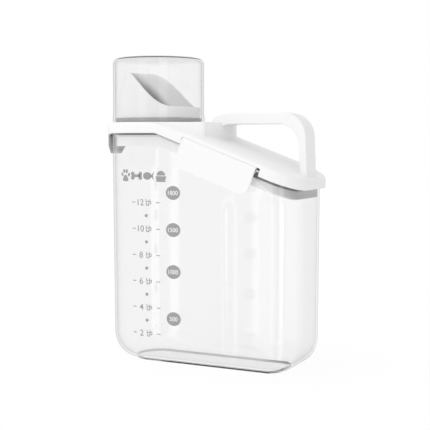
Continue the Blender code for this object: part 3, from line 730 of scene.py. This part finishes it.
def dress(obj, mat, body, node=None, sharp=None):
    """Give a finished piece its material, shading and body, and hide the CAD node it stands for."""
    obj.data.materials.clear()
    obj.data.materials.append(mat)
    obj.data.shade_smooth()
    if sharp is not None:
        obj.data.set_sharp_from_angle(angle=radians(sharp))
    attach(obj, body)
    if node is not None:
        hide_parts(node)


# -------- tub

def wall_inset(z):
    """How far the tub's outer wall stands inside the lid's outline."""
    return TUB_INSET + TUB_DRAFT * (RIM_Z - z)


def fluted(point, grow):
    """Push a wall point inwards where the upright finger flute runs, with a soft edge."""
    x, y, z = point
    wall_y = HALF_WIDTH - wall_inset(FLUTE_TOP / 2)
    centre = wall_y - FLUTE_DEPTH + FLUTE_RADIUS
    side = sqrt(FLUTE_RADIUS ** 2 - (FLUTE_RADIUS - FLUTE_DEPTH) ** 2)
    up = max(z - (FLUTE_TOP - side), 0.0)
    room = (FLUTE_RADIUS + grow) ** 2 - (x - FLUTE_X) ** 2 - up ** 2
    if room <= 0.0:
        return point
    limit = centre - sqrt(room)
    overlap = max(FLUTE_BLEND - abs(abs(y) - limit), 0.0) / FLUTE_BLEND
    depth = min(abs(y), limit) - overlap ** 2 * FLUTE_BLEND / 4
    return (x, copysign(depth, y), z)


def wall_rings(foot, floor_z, extra, top_rise):
    """Rings of one side of the tub's wall, from its rounded lower edge up to the sloping top.

    extra is how far that side stands inside the wall's outer side."""
    rings = []
    for turn in quarter(FOOT_TURN_STEPS):
        inset = foot - (foot - extra) * sin(turn)
        z = CORNER_HEIGHT - (CORNER_HEIGHT - floor_z) * cos(turn)
        rings.append(level_ring(wall_inset(z) + inset, z))
    for z in spread(CORNER_HEIGHT, LEVEL_TOP, WALL_STEP)[1:]:
        rings.append(level_ring(wall_inset(z) + extra, z))
    low = level_ring(wall_inset(LEVEL_TOP) + extra, LEVEL_TOP)
    high = rim_ring(TUB_INSET + extra, top_rise)
    for step in range(TOP_STEPS + 1):
        rings.append([tuple(Vector(a).lerp(Vector(b), step / TOP_STEPS)) for a, b in zip(low, high)])
    return [[fluted(point, extra) for point in ring] for ring in rings]


def make_tub():
    foot_side = FOOT_INSET + FOOT_RIM
    rings = [level_ring(wall_inset(0.0) + inset, z) for inset, z in (
        (foot_side, FOOT_RECESS), (foot_side, FOOT_EDGE), (foot_side - FOOT_EDGE, 0.0),
        (FOOT_INSET + FOOT_EDGE, 0.0), (FOOT_INSET, FOOT_EDGE))]
    rings += wall_rings(FOOT_INSET, FOOT_HEIGHT, 0.0, TUB_ABOVE_RIM - TUB_LIP)
    for angle in (30, 60, 90, 120, 150):
        turn = radians(angle)
        rings.append(rim_ring(TUB_INSET + TUB_LIP * (1 - cos(turn)),
                              TUB_ABOVE_RIM - TUB_LIP * (1 - sin(turn))))
    inside = wall_rings(FOOT_INSET + FLOOR_MARGIN, FLOOR_Z, TUB_WALL, TUB_ABOVE_RIM - TUB_LIP)
    tub = loft("clear_tub_shell", rings + inside[::-1])
    dress(tub, CLEAR_TUB, "bin", "bin_body", sharp=50)


def make_catches():
    """The lugs on the tub that the latches' hooks grip."""
    root_y = HALF_WIDTH - TUB_INSET - LUG_ROOT
    catches = [block(name, about(LATCH_MIDDLE, LUG_HALF_LENGTH), (side * root_y, side * LUG_OUT), LUG_N,
                     ON_SLOPE, LUG_BEVEL) for name, side in (("front_catch", -1), ("rear_catch", 1))]
    catches.append(block("end_catch", END_LUG_X, about(0.0, END_LUG_HALF), END_LUG_Z, bevel=LUG_BEVEL))
    for catch in catches:
        dress(catch, CLEAR_TUB, "bin", sharp=40)


# -------- lid

def hinge_rod(name, side, start, stop, radius):
    """A rod on a side latch's hinge line."""
    ends = [(x, side * BARREL_Y, BARREL_N) for x in (start, stop)]
    return rod(name, *ends, radius, ON_SLOPE)


def side_cutters(side):
    """Room for a side latch and its pin, and the bosses that carry the pin."""
    start, stop = LATCH_START - SLOT_BEFORE, LATCH_STOP + SLOT_AFTER
    inner = side * (HALF_WIDTH - TUB_INSET + GAP)
    ears = [block("ear", (at, at + EAR), (inner, side * (HALF_WIDTH - EDGE)), EAR_N, ON_SLOPE)
            for at in (start - EAR, stop)]
    notch = block("notch", (start, stop), (inner, side * NOTCH_OUT), NOTCH_N, ON_SLOPE)
    return ears, [notch, hinge_rod("bore", side, start - EAR, stop + EAR, BORE_RADIUS)]


def end_rod(name, half, radius):
    """A rod on the end latch's hinge line."""
    reach = Vector((0.0, half, 0.0))
    return rod(name, END_HINGE - reach, END_HINGE + reach, radius)


def end_cutters():
    """Room for the end latch's barrel and pin, and the bosses beside it."""
    half = END_BARREL_HALF + END_NOTCH_SIDE
    ears = [block("end_ear", END_EAR_X, (side * (half - END_NOTCH_SIDE), side * (half + END_EAR)), END_EAR_Z)
            for side in (-1, 1)]
    notch = block("end_notch", END_NOTCH_X, (-half, half), END_NOTCH_Z)
    return ears, [notch, end_rod("end_bore", half + END_EAR - END_NOTCH_SIDE, END_BORE_RADIUS)]


def shelf_plan(inset):
    """The level shelf from above: narrower past the bend, ending in an arc about the cup's axis."""
    radius = SHELF_RADIUS - inset
    turn = asin(SHELF_ARC_Y / SHELF_RADIUS)
    side = Vector((SHELF_SIDE[0], SHELF_SIDE[1] - inset))
    corner = Vector((SHELF_CORNER[0] - inset, SHELF_CORNER[1] - inset))
    tip = Vector((CUP_X + radius * cos(turn), radius * sin(turn)))
    upper = [Vector((BEND_X + inset, SHELF_START_Y - inset))]
    for step in range(SHELF_STEPS + 1):
        share = step / SHELF_STEPS
        upper.append(side.lerp(corner, share).lerp(corner.lerp(tip, share), share))
    for step in range(1, SHELF_STEPS + 1):
        angle = turn * (1 - step / SHELF_STEPS)
        upper.append(Vector((CUP_X + radius * cos(angle), radius * sin(angle))))
    return upper + [Vector((x, -y)) for x, y in reversed(upper[:-1])]


def shelf_block(name, inset, low_z, high_z):
    plan = shelf_plan(inset)
    return loft(name, [[(x, y, z) for x, y in plan] for z in (low_z, high_z)])


def make_lid():
    """A hollow shell with a neck and a shelf on it, a hole for the spout, and room for the latches."""
    skirt = [rim_ring(*point) for point in LID_SKIRT]
    lid = loft("white_lid", skirt + [deck_ring(*point) for point in LID_DECK])
    neck = turned("neck", [(NECK_RADIUS, RIM_Z), (NECK_RADIUS, NECK_TOP)], closed=False)
    shelf = shelf_block("shelf", 0.0, rim_z(KNEE_X), SHELF_TOP)
    roof = [deck_ring(*point) for point in LID_ROOF]
    hollow = loft("hollow", [rim_ring(SKIRT_WALL, CUTTER_LOW_Z - RIM_Z)] + roof)
    under_shelf = shelf_block("under_shelf", SHELF_WALL, CUTTER_LOW_Z, SHELF_TOP - SHELF_WALL)
    hole = rod("hole", (CUP_X, 0.0, CUTTER_LOW_Z), (CUP_X, 0.0, CUP_TOP), HOLE_RADIUS, steps=TURN_STEPS)
    bosses, cuts = end_cutters()
    for side in (-1, 1):
        more_bosses, more_cuts = side_cutters(side)
        bosses += more_bosses
        cuts += more_cuts
    combine(lid, "UNION", neck, shelf)
    combine(lid, "DIFFERENCE", hollow, under_shelf, hole)
    combine(lid, "UNION", *bosses)
    combine(lid, "DIFFERENCE", *cuts)
    soften(lid, LID_GRAIN)
    dress(lid, WHITE, "lid", "lid_shell")


def make_plug():
    outer, inner = PLUG_INSET, PLUG_INSET + PLUG_WALL
    half_edge, low = PLUG_EDGE / 2, PLUG_EDGE / 4 - PLUG_DEPTH
    profile = [(outer, PLUG_TOP), (outer, PLUG_EDGE - PLUG_DEPTH), (outer + half_edge, low),
               ((outer + inner) / 2, -PLUG_DEPTH), (inner - half_edge, low), (inner, PLUG_EDGE - PLUG_DEPTH),
               (inner, PLUG_TOP)]
    plug = loft("plug_skirt", [rim_ring(*point) for point in profile], closed=True)
    dress(plug, WHITE, "lid", "lid_plug", sharp=45)


def gasket_drop(x):
    """The lip is deeper at the handle end, where the end wall stands under the low rim."""
    return GASKET_DEPTH + (GASKET_END_DEPTH - GASKET_DEPTH) * ramp(x, *GASKET_DEEPENS_X)


def lip_ring(inset, raised):
    return [(x, y, rim_z(x) - gasket_drop(x) + raised) for x, y in outline(inset)]


def make_gasket():
    """A lip that hangs between plug and tub from a flange over the tub's rim."""
    inner = GASKET_INSET + GASKET_THICK
    flange_low = TUB_ABOVE_RIM + GAP
    flange_high = flange_low + FLANGE_THICK
    rings = [lip_ring(GASKET_INSET, GASKET_EDGE), rim_ring(GASKET_INSET, flange_low),
             rim_ring(FLANGE_INSET, flange_low), rim_ring(FLANGE_INSET, flange_high),
             rim_ring(inner, flange_high), lip_ring(inner, GASKET_EDGE), lip_ring(inner - GASKET_EDGE, 0.0),
             lip_ring(GASKET_INSET + GASKET_EDGE, 0.0)]
    gasket = loft("rim_gasket", rings, closed=True)
    dress(gasket, GASKET_SHADED_SILICONE, "lid", "lid_gasket", sharp=45)


# -------- spout and cup

def spout_cut_z(x):
    """Height of the spout's S-shaped mouth: high at the pouring side, low towards the handle."""
    along = x - CUP_X - SPOUT_CUT_SHIFT
    return SPOUT_TIP_Z - (SPOUT_TIP_Z - SPOUT_RING_TOP) * ramp(along, -SPOUT_CUT_REACH, SPOUT_CUT_REACH)


def spout_radius(z):
    """The spout narrows from its ring to its tip."""
    share = between(z, SPOUT_RING_TOP, SPOUT_TIP_Z)
    return SPOUT_RADIUS + (SPOUT_TIP_RADIUS - SPOUT_RADIUS) * share


def spout_ring(share, wall, lower=0.0):
    """A ring part of the way from the spout's ring up to its mouth.

    Height, radius and place depend on one another, so each point is settled in a few rounds."""
    points = []
    for i in range(TURN_STEPS):
        angle = 2 * pi * i / TURN_STEPS
        x = CUP_X + SPOUT_RADIUS * cos(angle)
        for _ in range(5):
            z = SPOUT_RING_TOP + (spout_cut_z(x) - SPOUT_RING_TOP) * share
            radius = spout_radius(z) - wall
            x = CUP_X + radius * cos(angle)
        points.append((x, radius * sin(angle), z - lower))
    return points


def make_spout():
    shoulder = NECK_TOP + GAP
    rings = [circle(SPOUT_TUBE_RADIUS, SPOUT_BOTTOM), circle(SPOUT_TUBE_RADIUS, shoulder),
             circle(SPOUT_RADIUS, shoulder)]
    rings += [spout_ring(share, 0.0, SPOUT_LIP) for share in SPOUT_SHARES]
    rings += [spout_ring(1.0, SPOUT_LOW_LIP, SPOUT_LOW_LIP), spout_ring(1.0, SPOUT_LIP),
              spout_ring(1.0, SPOUT_WALL - SPOUT_LIP),
              spout_ring(1.0, SPOUT_WALL - SPOUT_LOW_LIP, SPOUT_LOW_LIP)]
    rings += [spout_ring(share, SPOUT_WALL, SPOUT_LIP) for share in reversed(SPOUT_SHARES)]
    rings += [circle(SPOUT_RADIUS - SPOUT_WALL, shoulder + SPOUT_WALL),
              circle(SPOUT_TUBE_RADIUS - SPOUT_WALL, shoulder - SPOUT_SHOULDER_DROP),
              circle(SPOUT_TUBE_RADIUS - SPOUT_WALL, SPOUT_BOTTOM)]
    spout = loft("pouring_spout", rings, closed=True)
    dress(spout, SPOUT_WHITE, "lid", "spout", sharp=40)


def make_cup_seal():
    low, high = NECK_TOP + GAP, NECK_TOP + GAP + SEAL_HEIGHT
    inner, outer = SPOUT_RADIUS + GAP, CUP_RADIUS - CUP_WALL - GAP
    edge = SEAL_EDGE
    profile = [(inner, low + edge), (inner + edge, low), (outer - edge, low), (outer, low + edge),
               (outer, high - edge), (outer - edge, high), (inner + edge, high), (inner, high - edge)]
    seal = turned("cup_ring_seal", profile)
    dress(seal, SILICONE, "lid", "cup_seal", sharp=35)


def cup_side(radius, top_z, fillet, low_z):
    """One side of the cup's wall, from its straight part up over the fillet to the top."""
    side = [(radius, z) for z in spread(low_z, CUP_TOP - CUP_FILLET, CUP_STEP)]
    for turn in quarter():
        side.append((radius - fillet * (1 - cos(turn)), top_z - fillet * (1 - sin(turn))))
    return side


def make_cup():
    """The cup stands mouth down: a thick band at the mouth narrows to the straight wall."""
    mouth_z = NECK_TOP + GAP
    band_z = mouth_z + CUP_BAND
    inner = CUP_RADIUS - CUP_WALL
    outside = [(CUP_MOUTH_RADIUS - CUP_EDGE, mouth_z), (CUP_MOUTH_RADIUS, mouth_z + CUP_EDGE),
               (CUP_MOUTH_RADIUS, band_z)]
    for step in range(CUP_NARROWING_STEPS + 1):
        share = step / CUP_NARROWING_STEPS
        outside.append((CUP_MOUTH_RADIUS + (CUP_RADIUS - CUP_MOUTH_RADIUS) * ramp(share, 0.0, 1.0),
                        band_z + CUP_NARROWING * share))
    outside += cup_side(CUP_RADIUS, CUP_TOP, CUP_FILLET, mouth_z + CUP_STRAIGHT[0])
    inside = [(inner + CUP_EDGE, mouth_z), (inner - CUP_EDGE * 0.2, mouth_z + CUP_EDGE)]
    inside += cup_side(inner, CUP_TOP - CUP_WALL, CUP_FILLET - CUP_WALL, mouth_z + CUP_STRAIGHT[1])
    cup = turned("clear_cup_shell", inside[::-1] + outside, closed=False)
    dress(cup, CLEAR_CUP, "measuring_cup", "measuring_cup", sharp=50)


# -------- handle and latches

def deck_z(x):
    """The lid's deck under the handle's rear leg."""
    return rim_z(x) + DECK_RISE + SLOPE_EXTRA


def make_handle():
    """A bar seen from the side: root, underside, rear leg, top and nose, all the same width."""
    nose_z = SHELF_TOP + HANDLE_NOSE_RISE
    root_x, under_x = HANDLE_ROOT_X
    foot_z = SHELF_TOP - HANDLE_SINK
    points = [(root_x, foot_z)]
    points += [(under_x - (under_x - root_x) * cos(turn),
                HANDLE_ROOT_Z + (HANDLE_UNDER - HANDLE_ROOT_Z) * sin(turn)) for turn in quarter()]
    points += arc(LEG_INNER_X[0] - HANDLE_INNER_TURN, HANDLE_UNDER - HANDLE_INNER_TURN,
                  HANDLE_INNER_TURN, 90, 0, HANDLE_TURN_STEPS)
    points += [(x, deck_z(x) - HANDLE_SINK) for x in (LEG_INNER_X[1], LEG_OUTER_X[1])]
    points += arc(LEG_OUTER_X[0] - HANDLE_TURN, HANDLE_TOP - HANDLE_TURN, HANDLE_TURN, 0, 90,
                  HANDLE_TURN_STEPS)
    points += [(HANDLE_START_X + HANDLE_START_TURN * (1 - sin(turn)),
                nose_z + (HANDLE_TOP - nose_z) * cos(turn)) for turn in quarter()]
    points.append((HANDLE_START_X, foot_z))
    handle = slab("carry_handle", points, -HANDLE_HALF_WIDTH, HANDLE_HALF_WIDTH)
    soften(handle, HANDLE_GRAIN)
    dress(handle, WHITE, "lid", "handle")


def make_side_latch(name, node, side):
    """A flap with rounded lower corners, a barrel on its upper edge and a hook behind it."""
    corner, low_n = LATCH_CORNER, LATCH_CORNER - LATCH_DROP
    points = [(LATCH_STOP, BARREL_N)]
    points += arc(LATCH_STOP - corner, low_n, corner, 0, -90, LATCH_CORNER_STEPS)
    points += arc(LATCH_START + corner, low_n, corner, 270, 180, LATCH_CORNER_STEPS)
    points.append((LATCH_START, BARREL_N))
    low_y, high_y = sorted((side * (LATCH_OUTER - LATCH_THICK), side * LATCH_OUTER))
    latch = slab(name, points, low_y, high_y, ON_SLOPE)
    barrel = hinge_rod("barrel", side, LATCH_START, LATCH_STOP, BARREL_RADIUS)
    hook_y = (side * (LUG_OUT + GAP), side * (LATCH_OUTER - LATCH_THICK / 2))
    hook = block("hook", about(LATCH_MIDDLE, HOOK_HALF_LENGTH), hook_y, HOOK_N, ON_SLOPE)
    combine(latch, "UNION", barrel, hook)
    bore = hinge_rod("bore", side, LATCH_START - SLOT_BEFORE, LATCH_STOP + SLOT_BEFORE, BORE_RADIUS)
    combine(latch, "DIFFERENCE", bore)
    soften(latch, LATCH_GRAIN)
    dress(latch, WHITE, node, node)


def end_column(y, top_z, bottom_z):
    """One upright slice of the curved end plate, outside then inside."""
    angle = y / TAB_RADIUS
    inner = TAB_RADIUS - TAB_THICK
    corners = ((TAB_RADIUS, top_z), (TAB_RADIUS, bottom_z), (inner, bottom_z), (inner, top_z))
    return [(CUP_X - radius * cos(angle), radius * sin(angle), z) for radius, z in corners]


def make_end_latch():
    """A grey tab that follows the half-round end, with bevelled lower corners."""
    columns = []
    for step in range(-LATCH_COLUMNS, LATCH_COLUMNS + 1):
        y = TAB_HALF * step / LATCH_COLUMNS
        over = max(abs(y) - TAB_TOE, 0.0) / (TAB_HALF - TAB_TOE)
        bottom = TAB_BOTTOM + (TAB_BEVEL_Z - TAB_BOTTOM) * over
        columns.append(end_column(y, TAB_TOP, bottom))
    latch = loft("end_tab", columns)
    tongue = loft("tongue", [end_column(END_BARREL_HALF * step / TONGUE_COLUMNS, END_HINGE.z, END_TONGUE_LOW)
                             for step in range(-TONGUE_COLUMNS, TONGUE_COLUMNS + 1)])
    barrel = end_rod("barrel", END_BARREL_HALF, END_BARREL_RADIUS)
    bridge = block("bridge", (END_BRIDGE_X, END_HINGE.x), about(0.0, END_BARREL_HALF),
                   about(END_HINGE.z, END_BRIDGE_HALF))
    hook = block("hook", (END_HOOK_ROOT_X, END_LUG_X[0] - GAP), about(0.0, END_HOOK_HALF), END_HOOK_Z)
    combine(latch, "UNION", tongue, barrel, bridge, hook)
    combine(latch, "DIFFERENCE", end_rod("bore", END_BORE_HALF, END_BORE_RADIUS))
    soften(latch, TAB_GRAIN)
    dress(latch, SILICONE, "end_latch", "end_latch")


# -------- printing on the wall

def on_wall(s, z, proud):
    """A point of the print: s runs along the front wall and round the half-round end."""
    wall = HALF_WIDTH - wall_inset(z)
    half = wall + proud
    if s >= CUP_X:
        return (s, -half, z)
    angle = (CUP_X - s) / wall
    return (CUP_X - half * sin(angle), -half * cos(angle), z)


def wrap_print(obj, s, z):
    """Lay a flat mesh, drawn about its own centre, on the wall as a thin raised layer of ink."""
    bm = bmesh.new()
    bm.from_mesh(obj.data)
    bmesh.ops.remove_doubles(bm, verts=bm.verts, dist=1e-6)
    lefts = [vert.co.x for vert in bm.verts]
    for cut in spread(min(lefts), max(lefts), PRINT_CUT)[1:]:
        bmesh.ops.bisect_plane(bm, geom=bm.verts[:] + bm.edges[:] + bm.faces[:],
                               plane_co=(cut, 0, 0), plane_no=(1, 0, 0))
    for vert in bm.verts:
        proud = PRINT_PROUD if vert.co.z > 0 else -PRINT_SINK
        vert.co = on_wall(s + vert.co.x, z + vert.co.y, proud)
    bm.to_mesh(obj.data)
    bm.free()
    return obj


def flat_shape(loops):
    """Closed outlines filled as one flat shape with a little thickness; inner outlines are holes."""
    curve = bpy.data.curves.new("flat_shape", "CURVE")
    curve.dimensions = "2D"
    curve.fill_mode = "BOTH"
    curve.extrude = 1.0
    for loop in loops:
        spline = curve.splines.new("POLY")
        spline.points.add(len(loop) - 1)
        for point, (x, y) in zip(spline.points, loop):
            point.co = (x, y, 0.0, 1.0)
        spline.use_cyclic_u = True
    return as_mesh(curve)


def as_mesh(curve):
    """A mesh object made from a curve or text, linked to the scene."""
    source = linked(curve.name, curve)
    graph = bpy.context.evaluated_depsgraph_get()
    mesh = bpy.data.meshes.new_from_object(source.evaluated_get(graph), depsgraph=graph)
    bpy.data.objects.remove(source, do_unlink=True)
    return linked("shape", mesh)


def numeral(value, height):
    """A number in the built-in font, centred, with figures of the given height."""
    text = bpy.data.curves.new("numeral", "FONT")
    text.body = str(value)
    text.align_x = "CENTER"
    text.align_y = "CENTER"
    text.size = height / FONT_FIGURE_SHARE
    text.resolution_u = 6
    text.extrude = 1.0
    text.offset = height * FONT_WEIGHT
    obj = as_mesh(text)
    spans = [[vert.co[axis] for vert in obj.data.vertices] for axis in (0, 1)]
    middle = [(min(span) + max(span)) / 2 for span in spans]
    obj.data.transform(Matrix.Translation((-middle[0], -middle[1], 0.0)))
    return obj


def oval(cx, cy, rx, ry, lean=0.0, steps=32):
    """An ellipse about a centre, leaning by some degrees."""
    turn = Matrix.Rotation(radians(lean), 2)
    angles = [2 * pi * i / steps for i in range(steps)]
    return [tuple(Vector((cx, cy)) + turn @ Vector((rx * cos(angle), ry * sin(angle)))) for angle in angles]


def bar(left, right, low, high):
    """A rectangle's outline."""
    return [(left, low), (right, low), (right, high), (left, high)]


# The pictures below are lists of overlapping outlines in a square of side 1 about the origin.

def paw():
    """A paw: four toes and a three-lobed pad."""
    toes = [oval(side * x, y, rx, ry, -side * lean) for side in (-1, 1)
            for x, y, rx, ry, lean in ((0.36, 0.08, 0.10, 0.15, 22), (0.14, 0.33, 0.11, 0.16, 8))]
    pad = []
    for i in range(40):
        angle = 2 * pi * i / 40
        radius = 0.25 + 0.035 * cos(3 * (angle - pi / 2))
        pad.append((1.12 * radius * cos(angle), -0.22 + radius * sin(angle)))
    return toes + [pad]


def bone():
    """A bone: a bar with two knobs at each end."""
    knobs = [oval(side * 0.36, up * 0.15, 0.17, 0.17) for side in (-1, 1) for up in (-1, 1)]
    return [bar(-0.36, 0.36, -0.11, 0.11)] + knobs


def fish():
    """A fish: an oval body with a forked tail."""
    body = oval(-0.12, 0.0, 0.38, 0.27)
    tail = [(0.16, 0.0), (0.50, 0.30), (0.40, 0.0), (0.50, -0.30)]
    return [body, tail]


def bowl():
    """A feeding bowl with a mound of food in it."""
    side = [(-0.50, 0.0), (0.50, 0.0), (0.38, -0.36), (-0.38, -0.36)]
    foot = bar(-0.44, 0.44, -0.44, -0.36)
    angles = [radians(angle) for angle in range(0, 181, 10)]
    mound = [(0.40 * cos(angle), 0.05 + 0.36 * sin(angle)) for angle in angles]
    return [side, foot, mound]


def cup_mark():
    """A small open measuring cup with a loop handle, drawn in strokes."""
    left = [(-0.46, 0.48), (-0.34, 0.48), (-0.24, -0.48), (-0.36, -0.48)]
    right = [(0.10, 0.48), (0.22, 0.48), (0.12, -0.48), (0.0, -0.48)]
    base = bar(-0.36, 0.12, -0.48, -0.36)
    level = bar(-0.36, 0.12, 0.10, 0.20)
    loop = [bar(0.18, 0.50, 0.14, 0.24), bar(0.12, 0.50, -0.26, -0.16), bar(0.40, 0.50, -0.26, 0.24)]
    return [left, right, base, level] + loop


def picture(loops, width, height, s, z):
    """A picture's outlines as flat shapes, stretched to a width and height and laid on the wall."""
    return [wrap_print(flat_shape([[(x * width, y * height) for x, y in loop]]), s, z) for loop in loops]


def print_piece(name, shapes, mat):
    """Join small print shapes into one piece."""
    bm = bmesh.new()
    for shape in shapes:
        bm.from_mesh(shape.data)
        bpy.data.objects.remove(shape, do_unlink=True)
    dress(link_mesh(name, bm), mat, "bin", sharp=30)


def print_scale():
    """Rows of a dash, a number, a cup mark and a dash, with a dot between rows."""
    marks = []
    for row, value in enumerate(MARK_VALUES):
        z = MARK_LOW_Z + MARK_STEP * row
        for left, right in (LEFT_DASH, RIGHT_DASH):
            half = (right - left) / 2
            dash = flat_shape([bar(-half, half, -DASH_THICK / 2, DASH_THICK / 2)])
            marks.append(wrap_print(dash, left + half, z))
        marks.append(wrap_print(numeral(value, NUMERAL_HEIGHT), NUMERAL_S, z))
        marks += picture(cup_mark(), NUMERAL_HEIGHT, NUMERAL_HEIGHT, CUP_MARK_S, z)
        if row:
            dot = flat_shape([oval(0, 0, DOT_RADIUS, DOT_RADIUS)])
            marks.append(wrap_print(dot, DOT_S, z - MARK_STEP / 2))
    print_piece("scale_marks", marks, INK)


def print_discs():
    """Volume discs, with their figures as a second layer of ink."""
    discs, figures = [], []
    for value, z in DISC_ROWS.items():
        discs.append(wrap_print(flat_shape([oval(0, 0, *DISC_RADII, steps=64)]), DISC_S, z))
        figure = wrap_print(numeral(value, DISC_NUMERAL_HEIGHT), DISC_S, z)
        figure.data.transform(Matrix.Translation((0.0, -PRINT_PROUD, 0.0)))
        figures.append(figure)
    print_piece("volume_discs", discs, INK)
    print_piece("disc_numerals", figures, WHITE_INK)


def print_heading():
    heading = []
    for outlines, (s, width, height) in zip((paw(), bone(), fish(), bowl()), HEADING):
        heading += picture(outlines, width, height, s, HEADING_Z)
    print_piece("heading_pictograms", heading, INK)


# -------- stage

def make_floor():
    """A pale floor that glows a little, and that reflections don't see."""
    bm = bmesh.new()
    bmesh.ops.create_grid(bm, x_segments=1, y_segments=1, size=FLOOR_HALF)
    floor = link_mesh("floor", bm)
    floor.location.z = -EDGE
    mat, tree = new_material("pale_floor")
    color = mixed_color(tree, noise(tree, 3.0), *(grey(level) for level in FLOOR_GREYS))
    lit = add(tree, "BsdfDiffuse", {"Color": color}).outputs["BSDF"]
    glow = add(tree, "Emission", {"Strength": FLOOR_GLOW}).outputs["Emission"]
    surface = add(tree, "AddShader", {0: lit, 1: glow}).outputs[0]
    reflected = add(tree, "LightPath").outputs["Is Glossy Ray"]
    unseen = add(tree, "BsdfTransparent").outputs["BSDF"]
    shader = add(tree, "MixShader", {0: reflected, 1: surface, 2: unseen})
    close_material(tree, shader.outputs[0])
    floor.data.materials.append(mat)


def make_light():
    """A soft studio: brightest from the upper left front, a dark flag on the right.

    Reflections see upright light strips, placed by their angle round the object."""
    world = bpy.data.worlds.new("studio")
    world.use_nodes = True
    bpy.context.scene.world = world
    tree = world.node_tree
    tree.nodes.clear()
    direction = add(tree, "TexCoord").outputs["Generated"]
    parts = axes(tree, direction)
    towards = vector_maths(tree, "DOT_PRODUCT", direction, KEY_DIRECTION)
    around = ranged(tree, towards, *AMBIENT, -1.0, 1.0)
    rightward = maths(tree, "MAXIMUM", parts["X"], 0.0)
    flag = maths(tree, "MULTIPLY", maths(tree, "POWER", rightward, 2.0), FLAG)
    soft = maths(tree, "SUBTRACT", around, flag)
    bearing = maths(tree, "ARCTAN2", parts["X"], maths(tree, "MULTIPLY", parts["Y"], -1.0))
    strips = STRIP_BASE
    for start, stop, level in STRIPS:
        past = maths(tree, "GREATER_THAN", bearing, radians(start))
        before = maths(tree, "LESS_THAN", bearing, radians(stop))
        strip = maths(tree, "MULTIPLY", maths(tree, "MULTIPLY", past, before), level)
        strips = maths(tree, "ADD", strips, strip)
    rays = add(tree, "LightPath").outputs
    level = add(tree, "Mix", {0: rays["Is Glossy Ray"], 2: soft, 3: strips}).outputs[0]
    strength = add(tree, "Mix", {0: rays["Is Camera Ray"], 2: level, 3: 1.0}).outputs[0]
    shader = add(tree, "Background", {"Color": grey(1.0), "Strength": strength})
    add(tree, "OutputWorld", {"Surface": shader.outputs["Background"]})


def make_camera():
    data = bpy.data.cameras.new("camera")
    data.lens = CAMERA_LENS
    camera = linked("camera", data)
    back = Vector((sin(CAMERA_AZIMUTH) * cos(CAMERA_DROP),
                   -cos(CAMERA_AZIMUTH) * cos(CAMERA_DROP), sin(CAMERA_DROP)))
    camera.location = CAMERA_TARGET + back * CAMERA_DISTANCE
    camera.rotation_euler = (-back).to_track_quat("-Z", "Y").to_euler()
    bpy.context.scene.camera = camera


def dress_pins():
    """The hinge pins keep their CAD shapes."""
    for name in ("front_latch_pin", "rear_latch_pin", "end_latch_pin"):
        pin = frame["nodes"][name]
        pin.data.materials.clear()
        pin.data.materials.append(STEEL)


def main():
    make_tub()
    make_catches()
    make_lid()
    make_plug()
    make_gasket()
    make_spout()
    make_cup_seal()
    make_cup()
    make_handle()
    make_side_latch("front_flap", "front_latch", -1)
    make_side_latch("rear_flap", "rear_latch", 1)
    make_end_latch()
    print_scale()
    print_discs()
    print_heading()
    dress_pins()
    make_floor()
    make_light()
    make_camera()
    bpy.context.scene.view_settings.view_transform = "Standard"
    bpy.context.scene.cycles.transparent_max_bounces = CLEAR_BOUNCES


main()
